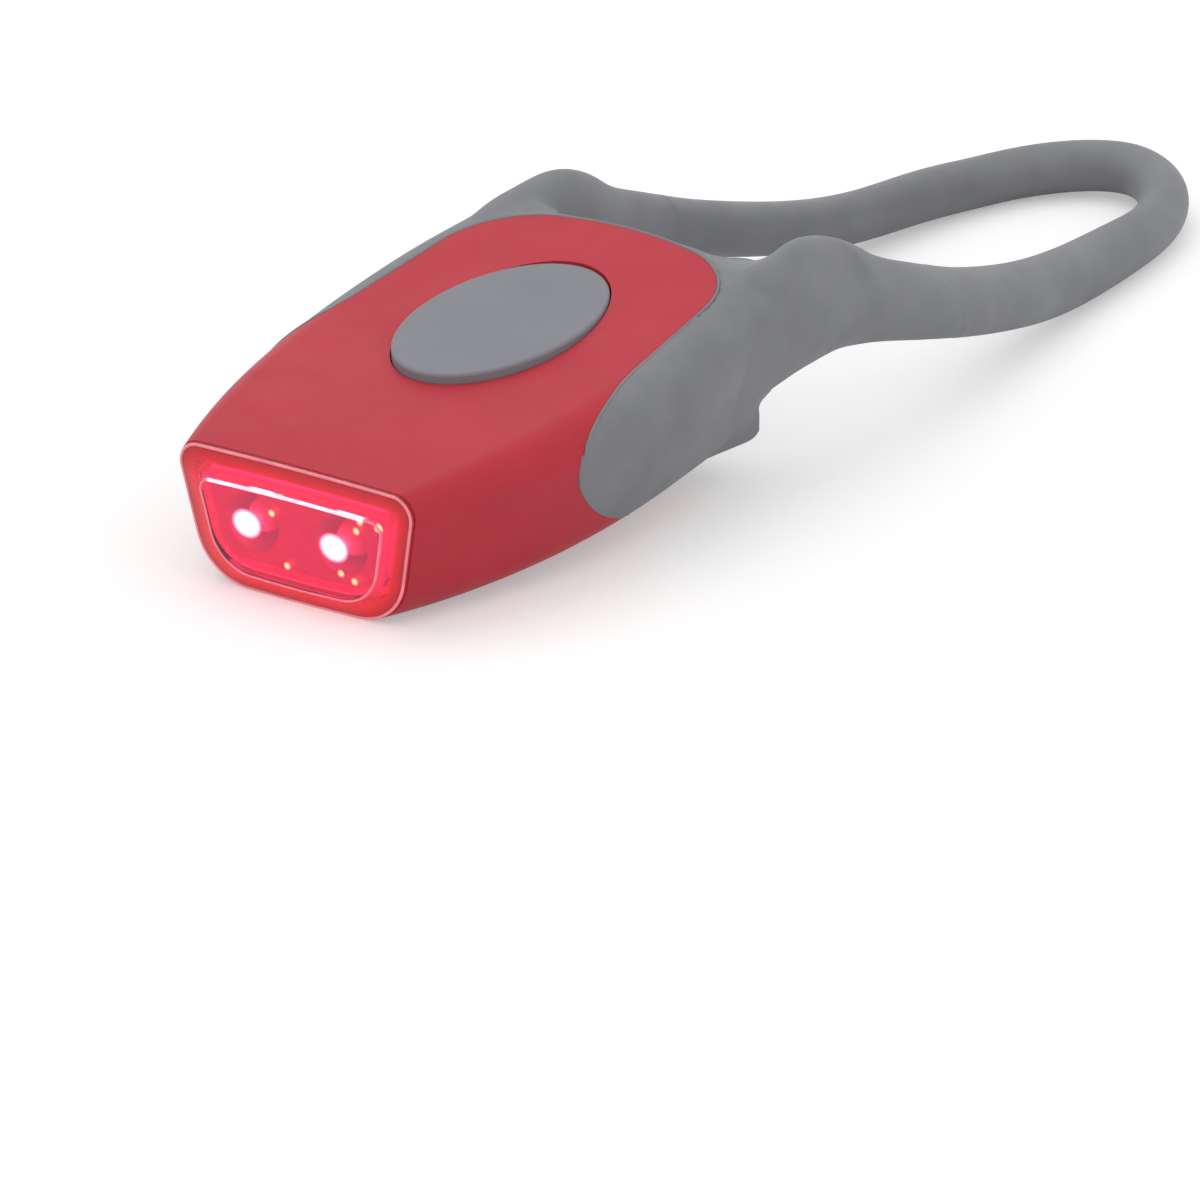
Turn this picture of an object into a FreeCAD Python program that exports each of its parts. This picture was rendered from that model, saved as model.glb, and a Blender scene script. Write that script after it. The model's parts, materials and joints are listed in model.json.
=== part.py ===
"""Bicycle tail light with a silicone sleeve and strap, in millimetres.

The lamp is drawn in its own frame: x across, y back from the lens, z up from its underside.
Its front edge and the tip of the strap touch the ground, which tilts it nose down,
so every sub-part gets the same resting placement.
"""

import FreeCAD
import Part
import Sketcher
import math
import os

from FreeCAD import Placement, Rotation, Vector

os.makedirs("parts", exist_ok=True)
doc = FreeCAD.newDocument("BicycleTailLight")

# Driving dimensions, in millimetres and degrees
FORM_STATIONS = ("nose", "brow", "waist", "hip", "tail")
SIZES = {
    # Outer form: five sections from the lens to the back of the sleeve
    "nose_station": 0.0, "nose_half_top": 11.75, "nose_half_bottom": 9.35, "nose_height": 11.5,
    "nose_crown": 0.15, "nose_belly": 0.15, "nose_top_radius": 1.8, "nose_bottom_radius": 4.8,
    "brow_station": 11.0, "brow_half_top": 15.3, "brow_half_bottom": 12.5, "brow_height": 11.9,
    "brow_crown": 0.3, "brow_belly": 0.35, "brow_top_radius": 2.6, "brow_bottom_radius": 2.8,
    "waist_station": 23.0, "waist_half_top": 17.9, "waist_half_bottom": 13.9, "waist_height": 12.1,
    "waist_crown": 0.25, "waist_belly": 0.3, "waist_top_radius": 3.4, "waist_bottom_radius": 2.4,
    "hip_station": 35.0, "hip_half_top": 18.2, "hip_half_bottom": 13.3, "hip_height": 12.75,
    "hip_crown": 0.2, "hip_belly": 0.3, "hip_top_radius": 3.8, "hip_bottom_radius": 2.4,
    "tail_station": 47.0, "tail_half_top": 15.6, "tail_half_bottom": 11.5, "tail_height": 12.9,
    "tail_crown": 0.8, "tail_belly": 0.3, "tail_top_radius": 3.8, "tail_bottom_radius": 2.2,
    # Shell
    "shell_front": 0.35, "shell_wall": 1.5, "mouth_step": 0.05, "lens_wall": 1.2, "core_wall": 1.2,
    "core_front": 13.0, "core_rear": 42.4, "core_floor": 1.0, "core_top": 11.5,
    "core_front_half_top": 15.1, "core_front_half_bottom": 12.3,
    "core_hip_half_top": 14.9, "core_hip_half_bottom": 11.9,
    "core_rear_half_top": 13.3, "core_rear_half_bottom": 10.6, "core_radius": 2.0,
    "floor_wall": 2.1, "deck_rear": 44.0, "deck_half": 13.8, "deck_corner_radius": 7.8,
    "deck_rear_bow": 1.2, "deck_taper": 1.6, "deck_flare": 2.8, "deck_flare_station": 25.0,
    # Cover under the cells
    "cover_thickness": 1.0, "cover_radius": 11.4, "cover_rear": 39.4, "cover_lobe_half": 3.6,
    "cover_lobe_radius": 4.6, "cover_gap": 0.08, "seal_thickness": 0.4, "cover_port_radius": 10.6,
    "cover_screw_half": 5.6, "cover_screw_station": 36.0, "screw_radius": 0.9, "screw_head_radius": 1.7,
    "screw_head_depth": 0.55, "cover_screw_length": 5.0, "boss_radius": 2.0, "hex_across": 1.3,
    "tab_width": 4.0, "tab_length": 1.4, "tab_thickness": 0.7, "tab_half": 4.0,
    # Cells and their holder
    "cell_radius": 10.0, "cell_thickness": 3.2, "cell_station": 24.0, "cell_floor": 1.4, "cell_gap": 0.05,
    "cell_cap_radius": 8.8, "cell_cap_step": 0.2, "holder_wall": 0.9, "holder_gap": 0.2,
    "holder_lift": 1.5, "holder_lip": 0.35, "holder_lip_width": 2.0, "lug_thickness": 1.2, "arm_half": 0.7,
    "contact_thickness": 0.2, "contact_width": 4.0, "contact_reach": 6.0, "dimple_radius": 1.2,
    # Board and what it carries
    "board_floor": 8.25, "board_thickness": 0.8, "board_front": 7.6, "board_rear": 39.6,
    "board_half": 11.2, "board_corner": 3.0, "board_screw_half": 9.4, "board_screw_station": 10.6,
    "board_screw_rear": 36.6, "board_screw_length": 2.6, "board_screw_radius": 0.7,
    "board_screw_head_radius": 1.3, "board_screw_head_height": 0.6,
    "chip_width": 4.0, "chip_length": 5.0, "chip_height": 0.8, "chip_station": 12.1,
    "lead_pitch": 1.27, "lead_width": 0.4, "lead_reach": 1.0, "lead_count": 4,
    "resistor_length": 1.6, "resistor_width": 0.8, "resistor_height": 0.5, "resistor_half": 6.6,
    "resistor_station": 11.6, "resistor_pitch": 2.2,
    # Light source
    "led_half": 4.3, "led_height": 6.0, "led_front": 0.5, "led_radius": 1.5, "led_length": 5.3,
    "led_flange_radius": 1.9, "led_flange_thickness": 0.7, "led_lead_radius": 0.25, "led_lead_half": 1.27,
    "led_lead_station": 9.2, "led_lead_bend": 0.8,
    "reflector_face": 0.15, "reflector_front": 2.5, "reflector_depth": 4.2, "reflector_cup_radius": 2.5,
    "reflector_cup_depth": 2.4, "reflector_gap": 0.12,
    "lens_proud": 0.9, "panel_proud": 0.35, "panel_side": 2.5, "panel_top": 2.0, "panel_bottom": 1.5,
    "panel_top_radius": 1.7, "panel_bottom_radius": 2.9, "panel_draft": 0.15,
    "spigot_depth": 1.9, "spigot_gap": 0.06, "lens_shell": 1.1,
    # Button and switch
    "button_station": 27.3, "button_half_width": 7.1, "button_half_length": 10.9, "button_top": 13.15,
    "button_gap": 0.12, "button_edge": 0.3, "button_travel": 0.35, "flange_width": 0.8,
    "flange_top": 10.85, "flange_thickness": 0.6, "flange_gap": 0.3, "button_seal_thickness": 0.35,
    "stem_radius": 1.9, "stem_gap": 0.03, "button_wall": 1.3,
    "switch_width": 5.2, "switch_height": 0.8, "plunger_radius": 1.5, "plunger_rise": 0.36,
    # Sleeve and strap
    "sleeve_gap": 0.08, "sleeve_rim": 0.6, "notch_half": 7.4, "notch_radius": 3.4, "notch_flare": 2.2,
    "heel_drop": 1.6, "heel_lip": 0.5, "heel_front": 36.5, "heel_rear": 43.5, "heel_half": 12.7,
    "heel_radius": 1.2, "heel_overlap": 0.6,
    "seat_height": 2.5, "seat_step": 1.5, "seat_crest": 3.0, "seat_crest_station": 50.5,
    "tongue_front": 16.1, "tongue_height": 8.0,
    "strap_hinge": 59.6, "neck_half": 3.4, "strap_tip": 109.8, "strap_drop": 8.5, "tip_radius": 2.06,
    # Details of the inside and the fits between pieces
    "core_crown": 0.2, "core_belly": 0.1, "cavity_lead": 0.4, "roof_wall": 0.6, "board_boss_radius": 1.4,
    "boss_root": 0.7, "boss_gap": 0.2, "port_step": 0.5, "pilot_start": 0.5, "well_rise": 1.0,
    "hook_root": 0.6, "hole_gap": 0.1, "seal_hole_gap": 0.3, "thread_gap": 0.03, "head_gap": 0.02,
    "thread_end_gap": 0.1, "small_hex_across": 1.04, "lead_rise": 0.4, "lead_root": 0.3,
    "bridge_half": 0.6, "bridge_inset": 0.5, "seat_rear_step": 0.5, "seat_front_drop": 0.4,
    "well_gap": 0.05, "well_depth_gap": 0.1, "chip_stand": 0.1, "lead_height": 0.3,
    "contact_slot": 3.0, "flare_overlap": 3.0,
}

sheet = doc.addObject("Spreadsheet::Sheet", "Sizes")
for row, (alias, number) in enumerate(SIZES.items(), start=1):
    sheet.set(f"A{row}", alias.replace("_", " "))
    sheet.set(f"B{row}", str(number))
    sheet.setAlias(f"B{row}", alias)
doc.recompute()


def size(alias):
    """The number that the sheet holds under an alias."""
    return float(sheet.get(alias))


def bind(thing, **formulas):
    """Binds properties of an object to formulas on the sheet; a double underscore stands for a dot."""
    for name, formula in formulas.items():
        thing.setExpression(name.replace("__", "."), formula)


# Sections of the outer form
def rounded_corner(corner, first, second, radius):
    """The arc that rounds a corner between two unit directions, as its start, middle and end points."""
    half = math.acos(max(-1.0, min(1.0, first.dot(second)))) / 2
    bisector = (first + second).normalize()
    reach = radius / math.tan(half)
    centre = corner + bisector * (radius / math.sin(half))
    return corner + first * reach, centre - bisector * radius, corner + second * reach


def bowed(start, end, sag):
    """The middle of an arc from start to end that stands sag away from their chord, along z."""
    return (start + end) * 0.5 + Vector(0, 0, sag)


def section_wire(station, half_top, half_bottom, height, floor, crown, belly, top_radius, bottom_radius):
    """A trapezoid in the plane y = station with rounded corners, a crowned top and a bowed bottom."""
    top = Vector(half_top, station, height)
    low = Vector(half_bottom, station, floor)
    down = (low - top).normalize()
    top_angle = 2 * math.atan(crown / half_top)
    low_angle = 2 * math.atan(belly / half_bottom)
    inward_top = Vector(-math.cos(top_angle), 0, math.sin(top_angle))
    inward_low = Vector(-math.cos(low_angle), 0, -math.sin(low_angle))
    upper = rounded_corner(top, inward_top, down, top_radius)
    lower = rounded_corner(low, down * -1, inward_low, bottom_radius)

    def mirror(point):
        return Vector(-point.x, point.y, point.z)

    top_sag = upper[0].x * math.tan(top_angle / 2)
    low_sag = lower[2].x * math.tan(low_angle / 2)
    left_top = mirror(upper[0])
    left_low = mirror(lower[2])
    edges = [
        Part.Arc(left_top, bowed(left_top, upper[0], top_sag), upper[0]).toShape(),
        Part.Arc(*upper).toShape(),
        Part.makeLine(upper[2], lower[0]),
        Part.Arc(*lower).toShape(),
        Part.Arc(lower[2], bowed(lower[2], left_low, -low_sag), left_low).toShape(),
        Part.Arc(left_low, mirror(lower[1]), mirror(lower[0])).toShape(),
        Part.makeLine(mirror(lower[0]), mirror(upper[2])),
        Part.Arc(mirror(upper[2]), mirror(upper[1]), left_top).toShape(),
    ]
    return Part.Wire(edges)


def inset_section(station, values, side, top=None, bottom=None, least_radius=0.5):
    """A section drawn inside another by its own inset at the sides, the top and the bottom."""
    top = side if top is None else top
    bottom = side if bottom is None else bottom
    half_top, half_bottom, height, floor, crown, belly, top_radius, bottom_radius = values
    lean = (half_top - half_bottom) / (height - floor)
    shift = side * math.sqrt(1 + lean * lean)
    return section_wire(
        station,
        half_top - lean * top - shift,
        half_bottom + lean * bottom - shift,
        height - top,
        floor + bottom,
        crown,
        belly,
        max(top_radius - side, least_radius),
        max(bottom_radius - side, least_radius),
    )


def form_values(station_name):
    """The eight values of one section of the outer form."""
    names = ("half_top", "half_bottom", "height", "crown", "belly", "top_radius", "bottom_radius")
    half_top, half_bottom, height, crown, belly, top_radius, bottom_radius = (
        size(f"{station_name}_{name}") for name in names
    )
    return half_top, half_bottom, height, 0.0, crown, belly, top_radius, bottom_radius


def form_at(station):
    """The outer form's values at any station, interpolated through its five sections."""
    places = [size(f"{name}_station") for name in FORM_STATIONS]
    rows = [form_values(name) for name in FORM_STATIONS]
    blended = [0.0] * len(rows[0])
    for i, here in enumerate(places):
        weight = 1.0
        for j, there in enumerate(places):
            if j != i:
                weight *= (station - there) / (here - there)
        blended = [total + weight * value for total, value in zip(blended, rows[i])]
    return tuple(blended)


def form_loft(stations, side=0.0, top=None, bottom=None):
    """A solid through sections of the outer form, each drawn in by the same insets."""
    wires = [inset_section(station, form_at(station), side, top, bottom) for station in stations]
    return Part.makeLoft(wires, True, False)


def spread(start, end, count):
    """Evenly spaced stations from start to end."""
    return [start + (end - start) * i / (count - 1) for i in range(count)]


def prism(outline, bottom, top):
    """A flat outline in x and y made a solid between two heights."""
    face = Part.Face(outline)
    face.translate(Vector(0, 0, bottom - face.BoundBox.ZMin))
    return face.extrude(Vector(0, 0, top - bottom))


def side_prism(outline, reach):
    """An outline in the plane x = 0 made a solid that reaches equally to both sides."""
    face = Part.Face(outline)
    face.translate(Vector(-reach, 0, 0))
    return face.extrude(Vector(2 * reach, 0, 0))


def polygon(points):
    """A closed wire through points."""
    return Part.makePolygon([*points, points[0]])


def box(x0, x1, y0, y1, z0, z1):
    """A box between limits."""
    return Part.makeBox(x1 - x0, y1 - y0, z1 - z0, Vector(x0, y0, z0))


def upright(radius, x, y, bottom, top):
    """An upright cylinder."""
    return Part.makeCylinder(radius, top - bottom, Vector(x, y, bottom))


def ellipse_prism(half_width, half_length, station, bottom, top):
    """An upright oval prism, longer along y than across."""
    curve = Part.Ellipse(
        Vector(0, station + half_length, 0), Vector(half_width, station, 0), Vector(0, station, 0)
    )
    return prism(Part.Wire([curve.toShape()]), bottom, top)


# How far tools reach past what they cut or join
REACH = 60.0
HIGH = 30.0
PAST = 1.0
OVERLAP = 0.1
TOUCH = 0.01
form_end = size("tail_station")
whole_form = form_loft(spread(0.0, form_end, 9))


# Where the sleeve meets the shell
FLARE_BEND = 1.6


def deck_outline(gap=0.0):
    """The rear of the red top seen from above, with a bowed rear edge and round corners."""
    half = size("deck_half") + gap
    rear = size("deck_rear") + gap
    radius = size("deck_corner_radius") + gap
    flare_start = size("deck_flare_station")
    corner = Vector(half - size("deck_taper"), rear - size("deck_rear_bow"), 0)
    knee = Vector(half, flare_start, 0)
    side = (knee - corner).normalize()
    bow = math.atan(2 * size("deck_rear_bow") / half)
    inward = Vector(-math.cos(bow), math.sin(bow), 0)
    arc = rounded_corner(corner, side, inward, radius)
    front = Vector(half + size("deck_flare"), size("tongue_front") - size("flare_overlap"), 0)
    bend_radius = FLARE_BEND * (knee - front).Length
    bend = rounded_corner(knee, side * -1, (front - knee).normalize(), bend_radius)
    right = [front, bend[2], bend[1], bend[0], *arc]
    left = [Vector(-p.x, p.y, 0) for p in reversed(right)]
    top = Vector(0, arc[2].y + arc[2].x * math.tan(bow / 2), 0)
    return Part.Wire(
        [
            Part.makeLine(right[0], right[1]),
            Part.Arc(right[1], right[2], right[3]).toShape(),
            Part.makeLine(right[3], right[4]),
            Part.Arc(*arc).toShape(),
            Part.Arc(arc[2], top, left[0]).toShape(),
            Part.Arc(*left[:3]).toShape(),
            Part.makeLine(left[2], left[3]),
            Part.Arc(left[3], left[4], left[5]).toShape(),
            Part.makeLine(left[5], left[6]),
            Part.makeLine(left[6], right[0]),
        ]
    )


# The sleeve's front edge on each side, from its foremost point: distance back and height, top to bottom
TONGUE_EDGE = (
    (14.0, 6.6),
    (7.4, 4.9),
    (3.1, 3.9),
    (0.7, 2.3),
    (0.0, 0.0),
    (1.2, -2.8),
    (3.6, -5.3),
    (7.4, -7.3),
    (13.0, -8.6),
)


def tongue_region(gap=0.0):
    """All that lies behind the sleeve's front edge, seen from the side."""
    front = size("tongue_front") - gap
    height = size("tongue_height")
    points = [Vector(0, front + back, height + rise) for back, rise in TONGUE_EDGE]
    curve = Part.BSplineCurve()
    curve.interpolate(points)
    closing = [points[-1], Vector(0, REACH * 2, points[-1].z), Vector(0, REACH * 2, points[0].z), points[0]]
    lines = [Part.makeLine(a, b) for a, b in zip(closing, closing[1:])]
    return side_prism(Part.Wire([curve.toShape(), *lines]), REACH)


def core_solid(gap=0.0):
    """The part of the shell inside the sleeve. It narrows all the way back, so that the sleeve slides off."""
    rows = (
        (size("core_front"), "core_front"),
        (size("hip_station"), "core_hip"),
        (size("core_rear") + gap, "core_rear"),
    )
    wires = [
        section_wire(
            station,
            size(f"{name}_half_top") + gap,
            size(f"{name}_half_bottom") + gap,
            size("core_top") + gap,
            size("core_floor") - gap,
            size("core_crown"),
            size("core_belly"),
            size("core_radius") + gap,
            size("core_radius") + gap,
        )
        for station, name in rows
    ]
    return Part.makeLoft(wires, True, True)


def deck_solid(gap=0.0):
    """The red top's overhang above the core."""
    return prism(deck_outline(gap), size("core_top") - size("core_radius") - gap, HIGH)


def under_region(gap=0.0):
    """The underside in front of the heel, which the sleeve leaves bare."""
    half = size("waist_half_bottom") - size("waist_bottom_radius") / 2 + gap
    return box(-half, half, 0, size("heel_front") + gap, -HIGH, size("core_floor") + 1.0)


# Top shell: one moulding, red, with the deck, the core, the bosses and the port for the cells
def cover_outline(grow=0.0):
    """The cover seen from below: a round end about the cells and a lobe behind for its screws."""
    radius = size("cover_radius") + grow
    lobe_radius = size("cover_lobe_radius") + grow
    centre = Vector(0, size("cell_station"), 0)
    lobe = Vector(size("cover_lobe_half"), size("cover_rear") - size("cover_lobe_radius"), 0)
    line = lobe - centre
    turn = math.acos((radius - lobe_radius) / line.Length)
    angle = math.atan2(line.y, line.x) - turn
    outward = Vector(math.cos(angle), math.sin(angle), 0)
    big = centre + outward * radius
    small = lobe + outward * lobe_radius
    mid_angle = (angle + math.pi / 2) / 2
    mid = lobe + Vector(math.cos(mid_angle), math.sin(mid_angle), 0) * lobe_radius
    end = lobe + Vector(0, lobe_radius, 0)

    def mirror(point):
        return Vector(-point.x, point.y, 0)

    return Part.Wire(
        [
            Part.Arc(mirror(big), centre - Vector(0, radius, 0), big).toShape(),
            Part.makeLine(big, small),
            Part.Arc(small, mid, end).toShape(),
            Part.makeLine(end, mirror(end)),
            Part.Arc(mirror(end), mirror(mid), mirror(small)).toShape(),
            Part.makeLine(mirror(small), mirror(big)),
        ]
    )


seal_top = size("cover_thickness") + size("seal_thickness")
hook_places = (-size("tab_half"), size("tab_half"))
cover_screw_places = [(side * size("cover_screw_half"), size("cover_screw_station")) for side in (-1, 1)]
board_screw_places = [
    (side * size("board_screw_half"), size(station))
    for side in (-1, 1)
    for station in ("board_screw_station", "board_screw_rear")
]
board_top = size("board_floor") + size("board_thickness")
cavity_rear = size("core_rear") - size("core_wall")


def cavity_solid(gap=0.0):
    """The space inside the shell: under the deck at the front, inside the core behind."""
    front = form_loft(
        spread(size("shell_front") + size("lens_wall"), size("core_front"), 4),
        size("shell_wall") + gap,
        None,
        size("floor_wall") + gap,
    )
    wall = size("core_wall") + gap
    rows = (
        (size("core_front") - size("cavity_lead"), "core_front"),
        (size("hip_station"), "core_hip"),
        (cavity_rear - gap, "core_rear"),
    )
    ceiling = size("core_top") - size("roof_wall") - gap
    wires = [
        section_wire(
            station,
            size(f"{name}_half_top") - wall,
            size(f"{name}_half_bottom") - wall,
            ceiling,
            size("floor_wall") + gap,
            size("core_crown"),
            size("core_belly"),
            size("core_radius") - wall / 2,
            size("core_radius") - wall / 2,
        )
        for station, name in rows
    ]
    return front.fuse(Part.makeLoft(wires, True, True))


cavity = cavity_solid()
button_seat = size("flange_top") + size("button_seal_thickness")


def make_top_shell():
    """Outer skin, core and overhanging deck, hollowed, with bosses, a button hole and a cell port."""
    lens_end = box(-REACH, REACH, -REACH, size("shell_front"), -HIGH, HIGH)
    front = whole_form.cut(lens_end).cut(tongue_region())
    deck = whole_form.common(deck_solid())
    deck = deck.common(box(-REACH, REACH, size("core_front"), REACH, -HIGH, HIGH))
    belly = whole_form.common(under_region())
    belly = belly.common(box(-REACH, REACH, size("core_front"), REACH, -HIGH, HIGH))
    skin = front.multiFuse([core_solid().common(whole_form), deck, belly])
    mouth_end = size("shell_front") + size("spigot_depth") + OVERLAP
    mouth = form_loft([size("shell_front") - PAST, mouth_end], size("shell_wall") - size("mouth_step"))
    shell = skin.cut(cavity).cut(mouth)
    # Bosses for the board and the cover
    bosses = [
        upright(size("board_boss_radius"), x, y, board_top, size("core_top")) for x, y in board_screw_places
    ]
    boss_start = size("floor_wall") - size("boss_root")
    boss_end = size("board_floor") - size("lug_thickness") - size("boss_gap")
    bosses += [upright(size("boss_radius"), x, y, boss_start, boss_end) for x, y in cover_screw_places]
    inside = skin.common(bosses[0].multiFuse(bosses[1:]))
    shell = shell.fuse(inside)
    # Cell port, cover rebate and screw holes
    port = upright(size("cover_port_radius"), 0, size("cell_station"), -HIGH, size("floor_wall") + size("port_step"))
    rebate = prism(cover_outline(size("cover_gap")), -HIGH, seal_top)
    slots = [
        box(
            x - size("tab_width") / 2 - size("cover_gap"),
            x + size("tab_width") / 2 + size("cover_gap"),
            size("cell_station") - size("cover_radius") - size("tab_length") - size("cover_gap"),
            size("cell_station"),
            size("cover_thickness") - size("cover_gap"),
            size("cover_thickness") + size("tab_thickness") + size("cover_gap"),
        )
        for x in hook_places
    ]
    pilot_end = size("board_floor") + size("board_screw_length")
    pilots = [
        upright(size("screw_radius"), x, y, -PAST, size("cover_screw_length") + size("screw_head_depth"))
        for x, y in cover_screw_places
    ]
    pilots += [
        upright(size("board_screw_radius"), x, y, board_top - size("pilot_start"), pilot_end)
        for x, y in board_screw_places
    ]
    button_hole = ellipse_prism(
        size("button_half_width") + size("button_gap"),
        size("button_half_length") + size("button_gap"),
        size("button_station"),
        size("board_floor") + size("well_rise"),
        HIGH,
    )
    seal_seat = ellipse_prism(
        size("button_half_width") + size("flange_width") + size("flange_gap"),
        size("button_half_length") + size("flange_width") + size("flange_gap"),
        size("button_station"),
        size("board_floor") + size("well_rise"),
        button_seat,
    )
    return shell.cut(Part.makeCompound([port, rebate, *slots, *pilots])).cut(button_hole).cut(seal_seat)


def make_bottom_cover():
    """The cover follows the underside of the form and hooks in at the front."""
    plate = whole_form.common(prism(cover_outline(), -HIGH, size("cover_thickness")))
    tabs = [
        box(
            x - size("tab_width") / 2,
            x + size("tab_width") / 2,
            size("cell_station") - size("cover_radius") - size("tab_length"),
            size("cell_station") - size("cover_radius") + size("hook_root"),
            size("cover_thickness"),
            size("cover_thickness") + size("tab_thickness"),
        )
        for x in hook_places
    ]
    holes = []
    for x, y in cover_screw_places:
        holes.append(upright(size("screw_radius") + size("hole_gap"), x, y, -HIGH, HIGH))
        holes.append(
            upright(size("screw_head_radius") + size("hole_gap"), x, y, -HIGH, size("screw_head_depth"))
        )
    return plate.multiFuse(tabs).cut(Part.makeCompound(holes))


def make_cover_seal():
    """A flat ring between the cover and the shell, notched where the cover's hooks pass."""
    outer = prism(cover_outline(-size("hole_gap")), size("cover_thickness"), seal_top)
    inner = upright(size("cover_port_radius"), 0, size("cell_station"), -PAST, HIGH)
    cuts = [inner]
    for x, y in cover_screw_places:
        cuts.append(upright(size("screw_radius") + size("seal_hole_gap"), x, y, -PAST, HIGH))
    for x in hook_places:
        cuts.append(
            box(
                x - size("tab_width") / 2 - size("hole_gap"),
                x + size("tab_width") / 2 + size("hole_gap"),
                0,
                size("cell_station") - size("cover_radius") + size("boss_root"),
                0,
                HIGH,
            )
        )
    return outer.cut(Part.makeCompound(cuts))


def cap_screw(x, y, head_bottom, head_height, head_radius, radius, length, socket):
    """A screw that points up, with a round head and a hexagonal socket."""
    head = upright(head_radius, x, y, head_bottom, head_bottom + head_height)
    shank = upright(radius, x, y, head_bottom + head_height - TOUCH, head_bottom + head_height + length)
    corners = [
        Vector(
            x + socket / math.sqrt(3) * math.cos(math.radians(60 * i)),
            y + socket / math.sqrt(3) * math.sin(math.radians(60 * i)),
            head_bottom,
        )
        for i in range(6)
    ]
    recess = Part.Face(polygon(corners)).extrude(Vector(0, 0, head_height * 0.6))
    return head.fuse(shank).cut(recess).removeSplitter()


def make_cover_screws():
    return Part.makeCompound(
        [
            cap_screw(
                x,
                y,
                0.0,
                size("screw_head_depth") - size("head_gap"),
                size("screw_head_radius"),
                size("screw_radius") - size("thread_gap"),
                size("cover_screw_length"),
                size("hex_across"),
            )
            for x, y in cover_screw_places
        ]
    )


def make_board_screws():
    return Part.makeCompound(
        [
            cap_screw(
                x,
                y,
                size("board_floor") - size("lug_thickness") - size("board_screw_head_height"),
                size("board_screw_head_height"),
                size("board_screw_head_radius"),
                size("board_screw_radius") - size("thread_gap"),
                size("lug_thickness") + size("board_screw_length") - size("thread_end_gap"),
                size("small_hex_across"),
            )
            for x, y in board_screw_places
        ]
    )


# Lens: a rim flush with the shell, a bevelled border and a raised panel, hollow behind
def panel_section(station, extra=0.0):
    """The outline of the raised panel, drawn in from the form's front, with its own corner radii."""
    half_top, half_bottom, height, floor, crown, belly, _, _ = form_at(0.0)
    side = size("panel_side") + extra
    top_radius = size("panel_top_radius") + side
    bottom_radius = size("panel_bottom_radius") + side
    values = (half_top, half_bottom, height, floor, crown, belly, top_radius, bottom_radius)
    return inset_section(station, values, side, size("panel_top") + extra, size("panel_bottom") + extra)


def make_lens():
    """A rim, a bevelled border and a panel in front of a spigot, with one wall all through."""
    front = -size("lens_proud")
    face = front - size("panel_proud")
    spigot_end = size("shell_front") + size("spigot_depth")
    spigot_inset = size("shell_wall") + size("spigot_gap")
    wall = size("lens_shell")
    rim = form_loft([0.0, size("shell_front")])
    border = Part.makeLoft([inset_section(0.0, form_at(0.0), 0.0), panel_section(front)], True, True)
    panel = Part.makeLoft([panel_section(front), panel_section(face, size("panel_draft"))], True, True)
    spigot = form_loft([size("shell_front") - OVERLAP, spigot_end], spigot_inset)
    body = rim.multiFuse([border, panel, spigot])
    hollow_inset = size("shell_wall") + wall
    hollow = form_loft([0.0, spigot_end + OVERLAP], hollow_inset)
    pocket = Part.makeLoft(
        [inset_section(OVERLAP / 2, form_at(0.0), hollow_inset), panel_section(face + wall, wall)], True, True
    )
    return body.cut(hollow.fuse(pocket))


def make_reflector():
    """A tray that fills the mouth and the lens's hollow, with a cone about each light source."""
    gap = size("reflector_gap")
    face = size("reflector_face")
    front = size("reflector_front")
    back = front + size("reflector_depth")
    rear_part = form_loft(
        [front, (front + back) / 2, back], size("shell_wall") + gap, None, size("floor_wall") + gap
    )
    front_part = form_loft([face, front + OVERLAP], size("shell_wall") + size("lens_shell") + gap)
    block = rear_part.fuse(front_part)
    bore = size("led_radius") + gap
    flange_bore = size("led_flange_radius") + gap
    flange_start = size("led_front") + size("led_length") - size("led_flange_thickness") - gap
    for side in (-1, 1):
        x = side * size("led_half")
        z = size("led_height")
        profile = [
            Vector(x, face - PAST, z),
            Vector(x + size("reflector_cup_radius"), face - PAST, z),
            Vector(x + size("reflector_cup_radius"), face, z),
            Vector(x + bore, face + size("reflector_cup_depth"), z),
            Vector(x + bore, flange_start, z),
            Vector(x + flange_bore, flange_start, z),
            Vector(x + flange_bore, back + PAST, z),
            Vector(x, back + PAST, z),
        ]
        cup = Part.Face(polygon(profile)).revolve(Vector(x, 0, z), Vector(0, 1, 0), 360)
        block = block.cut(cup)
    return block


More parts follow.
